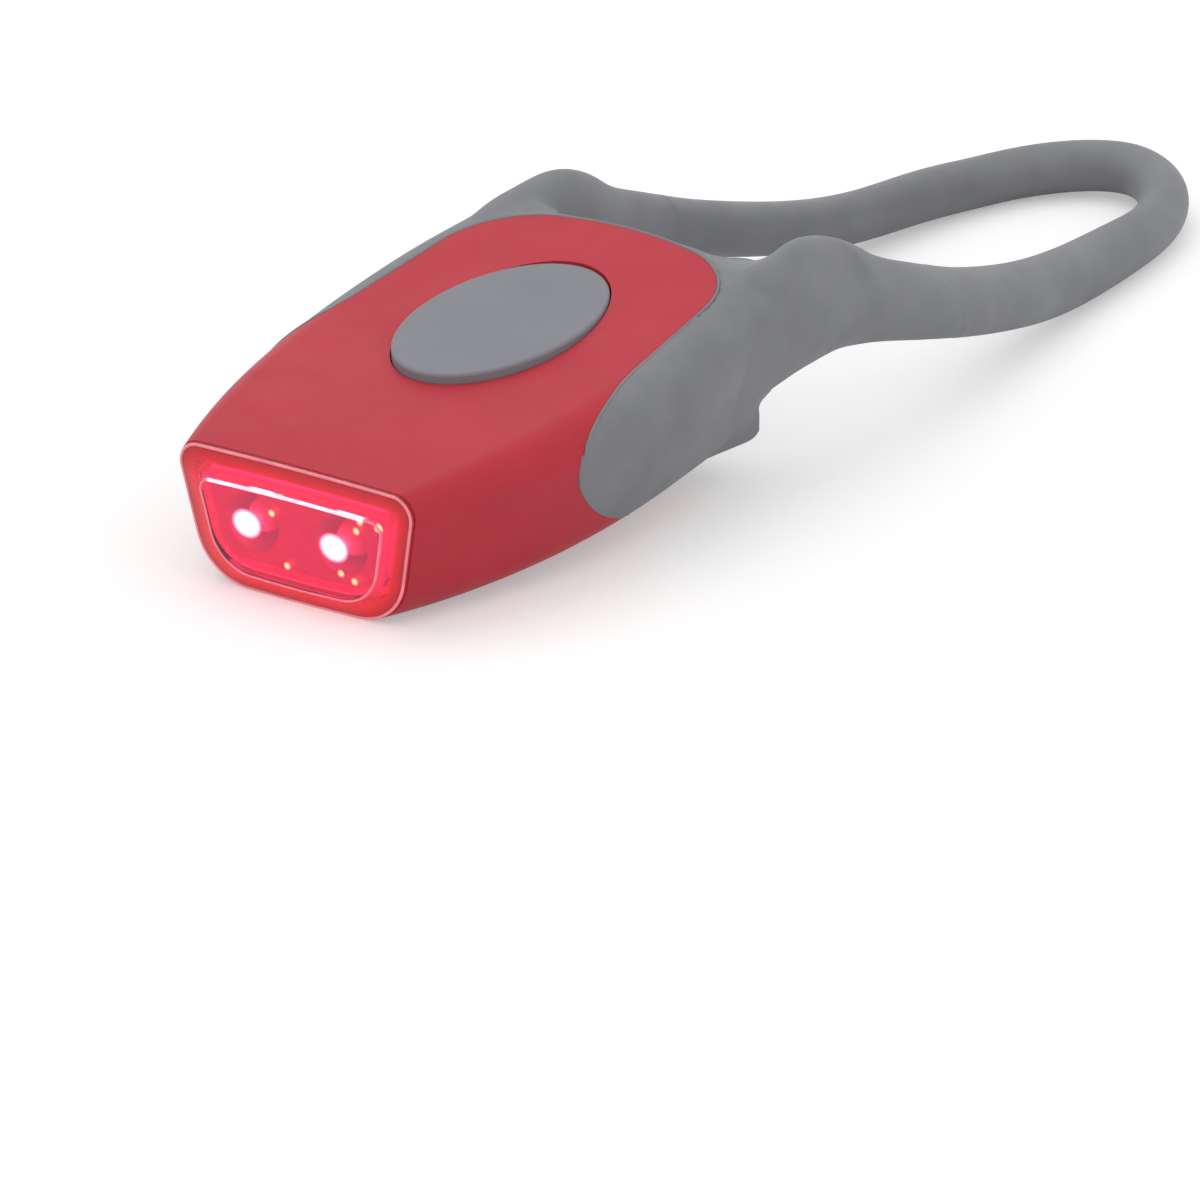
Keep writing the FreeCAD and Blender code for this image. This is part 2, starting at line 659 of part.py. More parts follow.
def make_led(side):
    """A domed light source with a flange and two wire legs that bend up into the board."""
    x = side * size("led_half")
    z = size("led_height")

    def at(across, back, up):
        return Vector(x + across, back, z + up)

    front = size("led_front")
    radius = size("led_radius")
    end = front + size("led_length")
    flange = end - size("led_flange_thickness")
    profile = Part.Wire(
        [
            Part.Arc(
                at(0, front, 0),
                at(0, front + radius * (1 - math.cos(math.pi / 4)), radius * math.sin(math.pi / 4)),
                at(0, front + radius, radius),
            ).toShape(),
            Part.makeLine(at(0, front + radius, radius), at(0, flange, radius)),
            Part.makeLine(at(0, flange, radius), at(0, flange, size("led_flange_radius"))),
            Part.makeLine(at(0, flange, size("led_flange_radius")), at(0, end, size("led_flange_radius"))),
            Part.makeLine(at(0, end, size("led_flange_radius")), at(0, end, 0)),
            Part.makeLine(at(0, end, 0), at(0, front, 0)),
        ]
    )
    capsule = Part.Face(profile).revolve(at(0, 0, 0), Vector(0, 1, 0), 360)
    bend = size("led_lead_bend")
    station = size("led_lead_station")
    top = board_top + size("lead_rise") - z
    inner_share = 1 - math.cos(math.pi / 4)
    legs = []
    for lead in (-1, 1):
        leg_x = lead * size("led_lead_half")
        start = at(leg_x, end - size("lead_root"), 0)
        path = Part.Wire(
            [
                Part.makeLine(start, at(leg_x, station - bend, 0)),
                Part.Arc(
                    at(leg_x, station - bend, 0),
                    at(leg_x, station - bend * inner_share, bend * inner_share),
                    at(leg_x, station, bend),
                ).toShape(),
                Part.makeLine(at(leg_x, station, bend), at(leg_x, station, top)),
            ]
        )
        ring = Part.Wire([Part.makeCircle(size("led_lead_radius"), start, Vector(0, 1, 0))])
        legs.append(path.makePipeShell([ring], True, False))
    return capsule.multiFuse(legs)


# Strap: an oval tube whose height and width change along its path
STRAP_PATH = (
    # x, y, z, half height, half width, lean in degrees
    (12.3, 38.5, 7.8, 4.9, 3.0, 0.0),
    (12.3, 43.6, 8.1, 5.5, 3.3, 0.0),
    (12.3, 47.9, 8.1, 5.45, 3.2, 0.0),
    (12.5, 51.8, 7.6, 5.1, 3.0, 2.0),
    (13.0, 55.0, 6.4, 4.1, 2.7, 8.0),
    (13.5, 58.2, 4.95, 3.4, 2.45, 17.0),
    (13.95, 62.2, 3.2, 3.15, 2.3, 28.0),
    (13.85, 67.4, 0.9, 3.0, 2.12, 38.0),
    (13.05, 73.5, -1.6, 2.87, 2.04, 42.0),
    (11.85, 80.5, -4.1, 2.7, 2.0, 41.0),
    (10.75, 87.5, -5.85, 2.5, 1.98, 34.0),
    (9.9, 94.5, -6.9, 2.3, 1.98, 22.0),
    (8.6, 100.7, -7.85, 2.1, 2.0, 10.0),
    (6.1, 105.9, -8.3, 2.08, 2.04, 2.0),
)


def oval_wire(centre, tangent, half_height, half_width, lean):
    """An oval of four tangent arcs, square to the path, its long axis leaning towards the middle."""
    forward = Vector(tangent).normalize()
    across = forward.cross(Vector(0, 0, 1)).normalize()
    up = across.cross(forward).normalize()
    angle = math.radians(lean)
    major = up * math.cos(angle) - across * math.sin(angle)
    minor = across * math.cos(angle) + up * math.sin(angle)
    small = 0.9 * half_width * half_width / half_height
    rise = half_height - small
    large = (rise * rise + half_width * half_width - small * small) / (2 * (half_width - small))
    offset = large - half_width
    turn = math.atan2(rise, offset)
    joint_minor = -offset + large * math.cos(turn)
    joint_major = large * math.sin(turn)

    def place(along_major, along_minor):
        return centre + major * along_major + minor * along_minor

    points = [
        place(joint_major, joint_minor),
        place(half_height, 0),
        place(joint_major, -joint_minor),
        place(0, -half_width),
        place(-joint_major, -joint_minor),
        place(-half_height, 0),
        place(-joint_major, joint_minor),
        place(0, half_width),
    ]
    arcs = [Part.Arc(points[i], points[i + 1], points[(i + 2) % 8]).toShape() for i in range(0, 8, 2)]
    return Part.Wire(arcs)


def strap_curve():
    """The middle line of the strap's right half, from inside the sleeve to its tip."""
    points = [Vector(x, y, z) for x, y, z, *_ in STRAP_PATH]
    points.append(Vector(0, size("strap_tip"), -size("strap_drop")))
    mirrored = [Vector(-p.x, p.y, p.z) for p in reversed(points[:-1])]
    curve = Part.BSplineCurve()
    curve.interpolate([*points, *mirrored])
    return curve


strap_line = strap_curve()
strap_first = strap_line.FirstParameter
strap_tip_at = strap_line.parameter(Vector(0, size("strap_tip"), -size("strap_drop")))
path_parameters = [strap_line.parameter(Vector(x, y, z)) for x, y, z, *_ in STRAP_PATH] + [strap_tip_at]
path_ovals = [tuple(row[3:]) for row in STRAP_PATH] + [(size("tip_radius") + TOUCH, size("tip_radius"), 0.0)]


def station_parameter(station):
    """Where the strap's right half crosses the plane y = station."""
    low = strap_first
    high = strap_tip_at
    for _ in range(50):
        mid = (low + high) / 2
        if strap_line.value(mid).y < station:
            low = mid
        else:
            high = mid
    return (low + high) / 2


def oval_at(parameter):
    """Half height, half width and lean of the strap along its right half, by smooth steps between rows."""
    last = len(path_parameters) - 1
    i = max(index for index in range(last) if index == 0 or path_parameters[index] <= parameter)
    here, there = path_parameters[i], path_parameters[i + 1]
    share = max(0.0, min(1.0, (parameter - here) / (there - here)))
    oval = []
    for values in zip(*path_ovals):
        if i == 0:
            start_slope = 0.0
        else:
            start_slope = (values[i + 1] - values[i - 1]) / (there - path_parameters[i - 1])
        if i + 1 == last:
            end_slope = 0.0
        else:
            end_slope = (values[i + 2] - values[i]) / (path_parameters[i + 2] - here)
        rest = 1 - share
        oval.append(
            values[i] * (1 + 2 * share) * rest * rest
            + start_slope * (there - here) * share * rest * rest
            + values[i + 1] * share * share * (3 - 2 * share)
            - end_slope * (there - here) * share * share * rest
        )
    return oval


def strap_section(parameter, side=1):
    """The strap's section at a parameter of its right half, or its mirror image."""
    wire = oval_wire(strap_line.value(parameter), strap_line.tangent(parameter)[0], *oval_at(parameter))
    if side < 0:
        wire = wire.mirror(Vector(0, 0, 0), Vector(1, 0, 0))
    return wire


def strap_length(start, end, count, side=1):
    """A length of the strap between two stations, on one side."""
    wires = [strap_section(value, side) for value in spread(start, end, count)]
    return Part.makeLoft(wires, True, False)


ARM_SECTIONS = 7
NECK_SECTIONS = 4
LOOP_SECTIONS = 15
neck_start = station_parameter(size("strap_hinge") - size("neck_half"))
neck_end = station_parameter(size("strap_hinge") + size("neck_half"))


def make_strap_flex():
    """The two short necks where the strap bends."""
    return Part.makeCompound([strap_length(neck_start, neck_end, NECK_SECTIONS, side) for side in (-1, 1)])


def make_strap_loop():
    """The loop, one tube from the right neck round the tip to the left neck."""
    half = strap_length(neck_end, strap_tip_at, LOOP_SECTIONS)
    other = half.mirror(Vector(0, 0, 0), Vector(1, 0, 0))
    return half.fuse(other)


def is_upright(edge):
    """True for an edge that runs straight up."""
    limits = edge.BoundBox
    return limits.ZLength > PAST and limits.XLength < TOUCH and limits.YLength < TOUCH


def at_station(edge, station):
    """True for an edge that lies in the plane y = station."""
    limits = edge.BoundBox
    return abs(limits.YMin - station) < TOUCH and abs(limits.YMax - station) < TOUCH


def make_silicone_sleeve():
    """A cup about the lamp's rear with a heel under it and a thick arm at each corner."""
    gap = size("sleeve_gap")
    skirt = whole_form.common(tongue_region(-gap))
    skirt = skirt.cut(core_solid(gap)).cut(deck_solid(gap)).cut(under_region(gap))
    rim = size("deck_rear") + size("sleeve_rim")
    half = size("notch_half")
    notch = prism(
        polygon(
            [
                Vector(-half, rim, 0),
                Vector(half, rim, 0),
                Vector(half + size("notch_flare"), form_end + PAST, 0),
                Vector(-half - size("notch_flare"), form_end + PAST, 0),
            ]
        ),
        -HIGH,
        HIGH,
    )
    notch = notch.makeFillet(
        size("notch_radius"), [edge for edge in notch.Edges if is_upright(edge) and at_station(edge, rim)]
    )
    arms = [strap_length(strap_first, neck_start, ARM_SECTIONS, side) for side in (-1, 1)]
    arms = [arm.cut(core_solid(gap)).cut(deck_solid(gap)) for arm in arms]
    heel_top = size("core_floor") + size("heel_overlap")
    rim_of_heel = size("heel_rear") - TOUCH
    heel = side_prism(
        polygon(
            [
                Vector(0, size("heel_front") + gap, heel_top),
                Vector(0, size("heel_front") + gap, -size("heel_lip")),
                Vector(0, size("heel_rear"), -size("heel_drop")),
                Vector(0, size("heel_rear"), heel_top),
            ]
        ),
        size("heel_half"),
    )
    low_edges = [edge for edge in heel.Edges if edge.BoundBox.ZMax < 0]
    rear_edges = [edge for edge in low_edges if edge.BoundBox.YMax > rim_of_heel]
    heel = heel.makeFillet(size("heel_radius"), rear_edges)
    clear_of_cover = prism(cover_outline(size("cover_gap") + gap), -size("hip_belly") - gap, heel_top + PAST)
    heel = heel.cut(core_solid(gap))
    seat = side_prism(seat_outline(), REACH)
    skirt = skirt.cut(notch).cut(seat)
    return skirt.multiFuse([*arms, heel]).cut(clear_of_cover)


def seat_outline():
    """The space under the arms where the handlebar lies, seen from the side."""
    rear = size("heel_rear")
    step = size("seat_step")
    crest = size("seat_crest")
    crest_station = size("seat_crest_station")
    end = 2 * crest_station - rear
    start = Vector(0, rear, step)
    low = size("seat_height") - size("seat_front_drop")
    arc = Part.Arc(
        Vector(0, rear + size("seat_rear_step"), low),
        Vector(0, crest_station, crest),
        Vector(0, end, low),
    )
    points = [arc.StartPoint, start, Vector(0, rear, -HIGH), Vector(0, end, -HIGH), arc.EndPoint]
    return Part.Wire([arc.toShape(), *(Part.makeLine(a, b) for a, b in zip(points, points[1:]))])


def make_button():
    """An oval cap with a rounded edge, a hidden flange and a stem down to the switch."""
    station = size("button_station")
    cap = ellipse_prism(
        size("button_half_width"), size("button_half_length"), station, size("flange_top"), size("button_top")
    )
    upper = [edge for edge in cap.Edges if edge.BoundBox.ZMin > size("button_top") - TOUCH]
    cap = cap.makeFillet(size("button_edge"), upper)
    flange = ellipse_prism(
        size("button_half_width") + size("flange_width"),
        size("button_half_length") + size("flange_width"),
        station,
        size("flange_top") - size("flange_thickness"),
        size("flange_top") - size("head_gap"),
    )
    stem = upright(size("stem_radius"), 0, station, plunger_top + size("stem_gap"), size("flange_top"))
    wall = size("button_wall")
    hollow = ellipse_prism(
        size("button_half_width") - wall,
        size("button_half_length") - wall,
        station,
        0,
        size("button_top") - wall,
    )
    bridge_reach = size("button_half_width") - size("bridge_inset")
    bridge_top = size("button_top") - size("bridge_inset")
    bridge = box(
        -bridge_reach,
        bridge_reach,
        station - size("bridge_half"),
        station + size("bridge_half"),
        size("flange_top") - size("flange_thickness"),
        bridge_top,
    )
    post = upright(size("stem_radius"), 0, station, plunger_top + size("stem_gap"), bridge_top)
    return cap.fuse(flange).cut(hollow).multiFuse([post, bridge])


switch_top = board_top + size("switch_height")
plunger_top = switch_top + size("plunger_rise")


def make_button_seal():
    """An oval ring between the button's flange and the shell."""
    outer = ellipse_prism(
        size("button_half_width") + size("flange_width"),
        size("button_half_length") + size("flange_width"),
        size("button_station"),
        size("flange_top") + size("head_gap"),
        button_seat,
    )
    inner = ellipse_prism(
        size("button_half_width") + size("button_gap"),
        size("button_half_length") + size("button_gap"),
        size("button_station"),
        0,
        HIGH,
    )
    return outer.cut(inner)


def freeform(label, shape):
    """A sub-part whose shape is made by the functions above."""
    feature = doc.addObject("Part::Feature", label)
    feature.Shape = shape
    feature.Label = label
    return feature


# Sub-parts made from sketches
def new_body(label):
    body = doc.addObject("PartDesign::Body", label)
    body.Label = label
    return body


def plane_sketch(body, role, name):
    """A sketch on one of the body's own origin planes."""
    sketch = body.newObject("Sketcher::SketchObject", name)
    plane = next(item for item in body.Origin.OriginFeatures if item.Role == role)
    sketch.AttachmentSupport = [(plane, "")]
    sketch.MapMode = "FlatFace"
    return sketch


def name_constraint(sketch, constraint, name, formula):
    """Adds a constraint, names it and binds it to the sheet."""
    index = sketch.addConstraint(constraint)
    sketch.renameConstraint(index, name)
    sketch.setExpression(f"Constraints.{name}", formula)


def add_circle(sketch, radius, name="radius"):
    """A circle about the sketch's origin."""
    index = sketch.addGeometry(Part.Circle(Vector(0, 0, 0), Vector(0, 0, 1), 1.0), False)
    sketch.addConstraint(Sketcher.Constraint("Coincident", index, 3, -1, 1))
    name_constraint(sketch, Sketcher.Constraint("Radius", index, 1.0), name, radius)


def add_rectangle(sketch, width, length):
    """A rectangle about the sketch's origin."""
    corners = [Vector(-1, -1, 0), Vector(1, -1, 0), Vector(1, 1, 0), Vector(-1, 1, 0)]
    lines = [Part.LineSegment(a, b) for a, b in zip(corners, corners[1:] + corners[:1])]
    first = sketch.addGeometry(lines, False)[0]
    for i in range(4):
        sketch.addConstraint(Sketcher.Constraint("Coincident", first + i, 2, first + (i + 1) % 4, 1))
    for i in (0, 2):
        sketch.addConstraint(Sketcher.Constraint("Horizontal", first + i))
        sketch.addConstraint(Sketcher.Constraint("Vertical", first + i + 1))
    sketch.addConstraint(Sketcher.Constraint("Symmetric", first, 1, first + 1, 2, -1, 1))
    name_constraint(sketch, Sketcher.Constraint("DistanceX", first, 1, first, 2, 2.0), "width", width)
    name_constraint(sketch, Sketcher.Constraint("DistanceY", first + 1, 1, first + 1, 2, 2.0), "length", length)


def padded_circle(body, name, radius, bottom, depth, station, x=None):
    """A round pad on a body, its size and place bound to the sheet."""
    sketch = plane_sketch(body, "XY_Plane", f"{name}Sketch")
    add_circle(sketch, radius)
    bind(sketch, AttachmentOffset__Base__y=station, AttachmentOffset__Base__z=bottom)
    if x is not None:
        bind(sketch, AttachmentOffset__Base__x=x)
    pad = body.newObject("PartDesign::Pad", name)
    pad.Profile = sketch
    bind(pad, Length=depth)
    return pad


def padded_rectangle(body, name, width, length, bottom, depth, station, x=None):
    """A rectangular pad on a body, its size and place bound to the sheet."""
    sketch = plane_sketch(body, "XY_Plane", f"{name}Sketch")
    add_rectangle(sketch, width, length)
    bind(sketch, AttachmentOffset__Base__y=station, AttachmentOffset__Base__z=bottom)
    if x is not None:
        bind(sketch, AttachmentOffset__Base__x=x)
    pad = body.newObject("PartDesign::Pad", name)
    pad.Profile = sketch
    bind(pad, Length=depth)
    return pad


def pocketed_circle(body, name, radius, bottom, depth, station, x):
    """A round hole cut upwards from a height."""
    sketch = plane_sketch(body, "XY_Plane", f"{name}Sketch")
    add_circle(sketch, radius)
    bind(
        sketch,
        AttachmentOffset__Base__x=x,
        AttachmentOffset__Base__y=station,
        AttachmentOffset__Base__z=bottom,
    )
    pocket = body.newObject("PartDesign::Pocket", name)
    pocket.Profile = sketch
    pocket.Reversed = True
    bind(pocket, Length=depth)
    return pocket


def dressed(body, kind, name, base, edges, radius):
    """A fillet or chamfer on named edges of a feature."""
    feature = body.newObject(f"PartDesign::{kind}", name)
    feature.Base = (base, edges)
    bind(feature, **{"Radius" if kind == "Fillet" else "Size": radius})
    return feature


def edges_where(feature, test):
    """Names of a feature's edges that pass a test."""
    return [f"Edge{i}" for i, edge in enumerate(feature.Shape.Edges, start=1) if test(edge)]


def make_cell(label, level):
    """A coin cell: a can with a rounded rim and a smaller cap below."""
    body = new_body(label)
    floor = f"Sizes.cell_floor + {level} * (Sizes.cell_thickness + Sizes.cell_gap)"
    can = padded_circle(
        body,
        "Can",
        "Sizes.cell_radius",
        f"{floor} + Sizes.cell_cap_step",
        "Sizes.cell_thickness - Sizes.cell_cap_step",
        "Sizes.cell_station",
    )
    doc.recompute()
    rim = edges_where(can, lambda edge: edge.BoundBox.ZLength < TOUCH)
    dressed(body, "Fillet", "Rim", can, rim, "Sizes.cell_cap_step * 1.5")
    padded_circle(
        body,
        "Cap",
        "Sizes.cell_cap_radius",
        floor,
        f"Sizes.cell_cap_step + {TOUCH}",
        "Sizes.cell_station",
    )
    return body


def make_circuit_board():
    """The board with its screw holes and the holes for the light sources' legs."""
    body = new_body("circuit_board")
    plate = padded_rectangle(
        body,
        "Plate",
        "2 * Sizes.board_half",
        "Sizes.board_rear - Sizes.board_front",
        "Sizes.board_floor",
        "Sizes.board_thickness",
        "(Sizes.board_front + Sizes.board_rear) / 2",
    )
    doc.recompute()
    dressed(body, "Fillet", "Corners", plate, edges_where(plate, is_upright_short), "Sizes.board_corner")
    holes = []
    for side in ("1", "-1"):
        for station in ("Sizes.board_screw_station", "Sizes.board_screw_rear"):
            radius = "Sizes.board_screw_radius + Sizes.well_gap"
            holes.append((radius, station, f"{side} * Sizes.board_screw_half"))
        for lead in ("1", "-1"):
            holes.append(
                (
                    "Sizes.led_lead_radius + Sizes.hole_gap",
                    "Sizes.led_lead_station",
                    f"{side} * Sizes.led_half + {lead} * Sizes.led_lead_half",
                )
            )
    for number, (radius, station, x) in enumerate(holes):
        pocketed_circle(
            body, f"Hole{number}", radius, "Sizes.board_floor - 1", "Sizes.board_thickness + 2", station, x
        )
    return body


def is_upright_short(edge):
    """True for a short edge that runs straight up."""
    limits = edge.BoundBox
    return limits.ZLength > OVERLAP and limits.XLength < TOUCH and limits.YLength < TOUCH


BOARD_TOP = "Sizes.board_floor + Sizes.board_thickness"


def make_switch_body():
    body = new_body("switch_body")
    case = padded_rectangle(
        body,
        "Case",
        "Sizes.switch_width",
        "Sizes.switch_width",
        BOARD_TOP,
        "Sizes.switch_height",
        "Sizes.button_station",
    )
    doc.recompute()
    corners = edges_where(case, is_upright_short)
    dressed(body, "Chamfer", "Corners", case, corners, "Sizes.switch_width / 10")
    pocketed_circle(
        body,
        "Well",
        "Sizes.plunger_radius + Sizes.well_gap",
        f"{BOARD_TOP} + Sizes.switch_height - Sizes.button_travel - Sizes.well_depth_gap",
        "2",
        "Sizes.button_station",
        "0",
    )
    return body


def make_switch_plunger():
    body = new_body("switch_plunger")
    pin = padded_circle(
        body,
        "Pin",
        "Sizes.plunger_radius",
        f"{BOARD_TOP} + Sizes.switch_height - Sizes.head_gap",
        "Sizes.plunger_rise + Sizes.head_gap",
        "Sizes.button_station",
    )
    doc.recompute()
    upper = edges_where(pin, lambda edge: edge.BoundBox.ZMin > pin.Shape.BoundBox.ZMax - TOUCH)
    dressed(body, "Fillet", "Crown", pin, upper, "Sizes.plunger_rise / 3")
    return body


def make_controller_chip():
    """A small outline package with a row of legs along each side."""
    body = new_body("controller_chip")
    padded_rectangle(
        body,
        "Package",
        "Sizes.chip_width",
        "Sizes.chip_length",
        f"{BOARD_TOP} + Sizes.chip_stand",
        "Sizes.chip_height - Sizes.chip_stand",
        "Sizes.chip_station",
    )
    sketch = plane_sketch(body, "XY_Plane", "LegSketch")
    add_rectangle(sketch, "Sizes.chip_width + 2 * Sizes.lead_reach", "Sizes.lead_width")
    bind(
        sketch,
        AttachmentOffset__Base__y="Sizes.chip_station - Sizes.lead_pitch * (Sizes.lead_count - 1) / 2",
        AttachmentOffset__Base__z=BOARD_TOP,
    )
    leg = body.newObject("PartDesign::Pad", "Legs")
    leg.Profile = sketch
    bind(leg, Length="Sizes.lead_height")
    doc.recompute()
    row = body.newObject("PartDesign::LinearPattern", "LegRow")
    row.Originals = [leg]
    row.Direction = (sketch, ["V_Axis"])
    bind(row, Length="Sizes.lead_pitch * (Sizes.lead_count - 1)")
    row.Occurrences = int(size("lead_count"))
    body.Tip = row
    return body


def make_resistors():
    """Four chip resistors in two pairs beside the controller."""
    pieces = []
    for side in ("1", "-1"):
        for rank in ("0", "1"):
            piece = doc.addObject("Part::Box", f"Resistor{len(pieces)}")
            bind(
                piece,
                Length="Sizes.resistor_width",
                Width="Sizes.resistor_length",
                Height="Sizes.resistor_height",
                Placement__Base__x=f"{side} * Sizes.resistor_half - Sizes.resistor_width / 2",
                Placement__Base__y=f"Sizes.resistor_station + {rank} * Sizes.resistor_pitch",
                Placement__Base__z=BOARD_TOP,
            )
            pieces.append(piece)
    group = doc.addObject("Part::Compound", "resistors")
    group.Label = "resistors"
    group.Links = pieces
    return group


def make_battery_holder():
    """A wall about the cells with a lip over them, and an arm and a lug to each of the board's screws."""
    radius = size("cell_radius") + size("holder_gap")
    outer = radius + size("holder_wall")
    bottom = size("floor_wall") + size("holder_lift")
    top = size("board_floor")
    station = size("cell_station")
    lug_bottom = top - size("lug_thickness")
    wall = upright(outer, 0, station, bottom, top)
    limbs = []
    for x, y in board_screw_places:
        limbs.append(upright(size("boss_radius"), x, y, lug_bottom, top))
        reach = Vector(x, y - station, 0)
        arm = box(radius, reach.Length, -size("arm_half"), size("arm_half"), lug_bottom, top)
        arm.rotate(Vector(0, 0, 0), Vector(0, 0, 1), math.degrees(math.atan2(reach.y, reach.x)))
        arm.translate(Vector(0, station, 0))
        limbs.append(arm)
    cuts = [
        upright(radius, 0, station, 0, top - size("holder_lip")),
        upright(radius - size("holder_lip_width"), 0, station, 0, HIGH),
        box(
            -size("contact_width"),
            size("contact_width"),
            station + radius - size("contact_slot"),
            station + outer + PAST,
            0,
            HIGH,
        ),
    ]
    bore = size("board_screw_radius") + size("well_gap")
    cuts += [upright(bore, x, y, 0, HIGH) for x, y in board_screw_places]
    return wall.multiFuse(limbs).cut(Part.makeCompound(cuts))


def make_contact_negative():
    """A strip under the lower cell that turns up behind the cells to the board."""
    thick = size("contact_thickness")
    half = size("contact_width") / 2
    station = size("cell_station")
    low = size("cell_floor") - thick
    rear = station + size("cell_radius") + size("hole_gap")
    strip = box(-half, half, station - size("contact_reach"), rear + thick, low, low + thick)
    riser = box(-half, half, rear, rear + thick, low, size("board_floor"))
    return strip.fuse(riser).removeSplitter()


def make_contact_positive():
    """A leaf between the upper cell and the board."""
    thick = size("contact_thickness")
    half = size("contact_width") / 2
    station = size("cell_station")
    top_of_cells = size("cell_floor") + 2 * size("cell_thickness") + size("cell_gap")
    reach = size("contact_reach")
    leaf = box(-half, half, station - reach, station + reach, size("board_floor") - thick, size("board_floor"))
    dimple = upright(size("dimple_radius"), 0, station, top_of_cells, size("board_floor"))
    return leaf.fuse(dimple)


parts = [
    freeform("top_shell", make_top_shell()),
    freeform("bottom_cover", make_bottom_cover()),
    freeform("cover_seal", make_cover_seal()),
    freeform("cover_screws", make_cover_screws()),
    freeform("lens", make_lens()),
    freeform("reflector", make_reflector()),
    freeform("led_left", make_led(-1)),
    freeform("led_right", make_led(1)),
    make_circuit_board(),
    freeform("board_screws", make_board_screws()),
    make_controller_chip(),
    make_resistors(),
    make_switch_body(),
    make_switch_plunger(),
    freeform("button", make_button()),
    freeform("button_seal", make_button_seal()),
    make_cell("cell_lower", 0),
    make_cell("cell_upper", 1),
    freeform("battery_holder", make_battery_holder()),
    freeform("contact_positive", make_contact_positive()),
    freeform("contact_negative", make_contact_negative()),
    freeform("silicone_sleeve", make_silicone_sleeve()),
    freeform("strap_flex", make_strap_flex()),
    freeform("strap_loop", make_strap_loop()),
]
doc.recompute()

# The lamp leans on its front edge and on the lowest place of the strap
front_low = -size("nose_belly")


def strap_underside(parameter):
    """A point below the strap's middle line, at the height of its underside."""
    centre = strap_line.value(parameter)
    half_height, half_width, lean_angle = oval_at(parameter)
    angle = math.radians(lean_angle)
    return centre.y, centre.z - math.hypot(half_height * math.cos(angle), half_width * math.sin(angle))


undersides = [strap_underside(value) for value in spread(neck_end, strap_tip_at, 60)]
tilt = max(math.degrees(math.atan2(front_low - z, y)) for y, z in undersides)
lean = Placement(Vector(0, 0, 0), Rotation(Vector(1, 0, 0), tilt))
everything = Part.makeCompound([part.Shape.copy() for part in parts])
everything.Placement = lean
limits = everything.optimalBoundingBox(False)
shift = Vector(0, -(limits.YMin + limits.YMax) / 2, -limits.ZMin)
resting = Placement(shift, Rotation(Vector(1, 0, 0), tilt))

for part in parts:
    part.Placement = resting
doc.recompute()

for item in doc.Objects:
    for state in item.State:
        if state in ("Invalid", "Error"):
            raise RuntimeError(f"{item.Label} is {state}")
for part in parts:
    if part.Shape.isNull() or not part.Shape.isValid():
        raise RuntimeError(f"{part.Label} has no valid shape")
for part in parts:
    part.Shape.exportStep(f"parts/{part.Label}.step")
    print(f"{part.Label}: {len(part.Shape.Solids)} solids, {part.Shape.Volume:.1f} mm3")
print(f"tilt {tilt:.3f} degrees, shift {shift.y:.4f} {shift.z:.4f}")
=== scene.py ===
"""Looks of a bicycle tail light.

A soft red lamp body with a clear red lens, in one grey silicone sleeve with its strap.
"""

import json
import logging
import math
from dataclasses import dataclass
from enum import Enum

import bmesh
import bpy
import numpy
from mathutils import Euler, Matrix, Vector
from mathutils.bvhtree import BVHTree

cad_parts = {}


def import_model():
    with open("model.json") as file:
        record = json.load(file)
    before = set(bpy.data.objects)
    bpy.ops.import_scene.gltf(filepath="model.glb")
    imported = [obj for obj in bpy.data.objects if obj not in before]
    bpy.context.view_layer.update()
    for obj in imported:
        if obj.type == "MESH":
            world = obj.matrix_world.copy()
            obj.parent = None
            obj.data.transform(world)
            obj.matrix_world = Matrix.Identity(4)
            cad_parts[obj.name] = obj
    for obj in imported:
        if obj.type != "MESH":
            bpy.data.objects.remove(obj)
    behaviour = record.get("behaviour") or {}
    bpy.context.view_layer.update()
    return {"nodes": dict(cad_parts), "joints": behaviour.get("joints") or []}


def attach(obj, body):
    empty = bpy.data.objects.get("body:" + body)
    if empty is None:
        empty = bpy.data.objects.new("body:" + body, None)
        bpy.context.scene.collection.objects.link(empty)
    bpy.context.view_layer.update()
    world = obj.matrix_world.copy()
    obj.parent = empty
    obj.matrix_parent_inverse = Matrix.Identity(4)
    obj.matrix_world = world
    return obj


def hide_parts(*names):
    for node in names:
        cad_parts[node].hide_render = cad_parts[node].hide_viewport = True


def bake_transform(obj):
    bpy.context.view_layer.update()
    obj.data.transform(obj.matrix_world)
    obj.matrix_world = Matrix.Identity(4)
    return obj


MM = 0.001
JOIN_DISTANCE = 1e-7
# Where the strap bends, in the lamp's own axes: its station behind the lens's rim and its height.
STRAP_HINGE = (59.6, 5.0)
# Names of the lens's marks for painted glow on its border and on its panel.
BORDER_GLOW_MASK = "border"
PANEL_GLOW_MASK = "panel"
BEAD_SIDES = 10
CRISP_ANGLE = 28.0
SHADING_WEIGHT = 80
SMOOTH_FACTOR = 0.5
NOISE_ROUGHNESS = 0.55
# Most of the noise lies between these two values.
NOISE_LOW, NOISE_HIGH = 0.3, 0.7
# The Mix node's sockets for colours go by number, because their names repeat.
MIX_FIRST, MIX_SECOND, MIX_RESULT = 6, 7, 2
LOG = logging.getLogger("tail_light")
Colour = tuple[float, float, float]
Row = tuple[float, ...]
Pair = tuple[float, float]
Span = tuple[float, float, float, float]
Edges = list[tuple[int, int]]


class Body(Enum):
    """The parts of the light that move on their own."""

    LAMP = "lamp"
    BUTTON = "button"
    SLEEVE = "sleeve"
    STRAP = "strap"


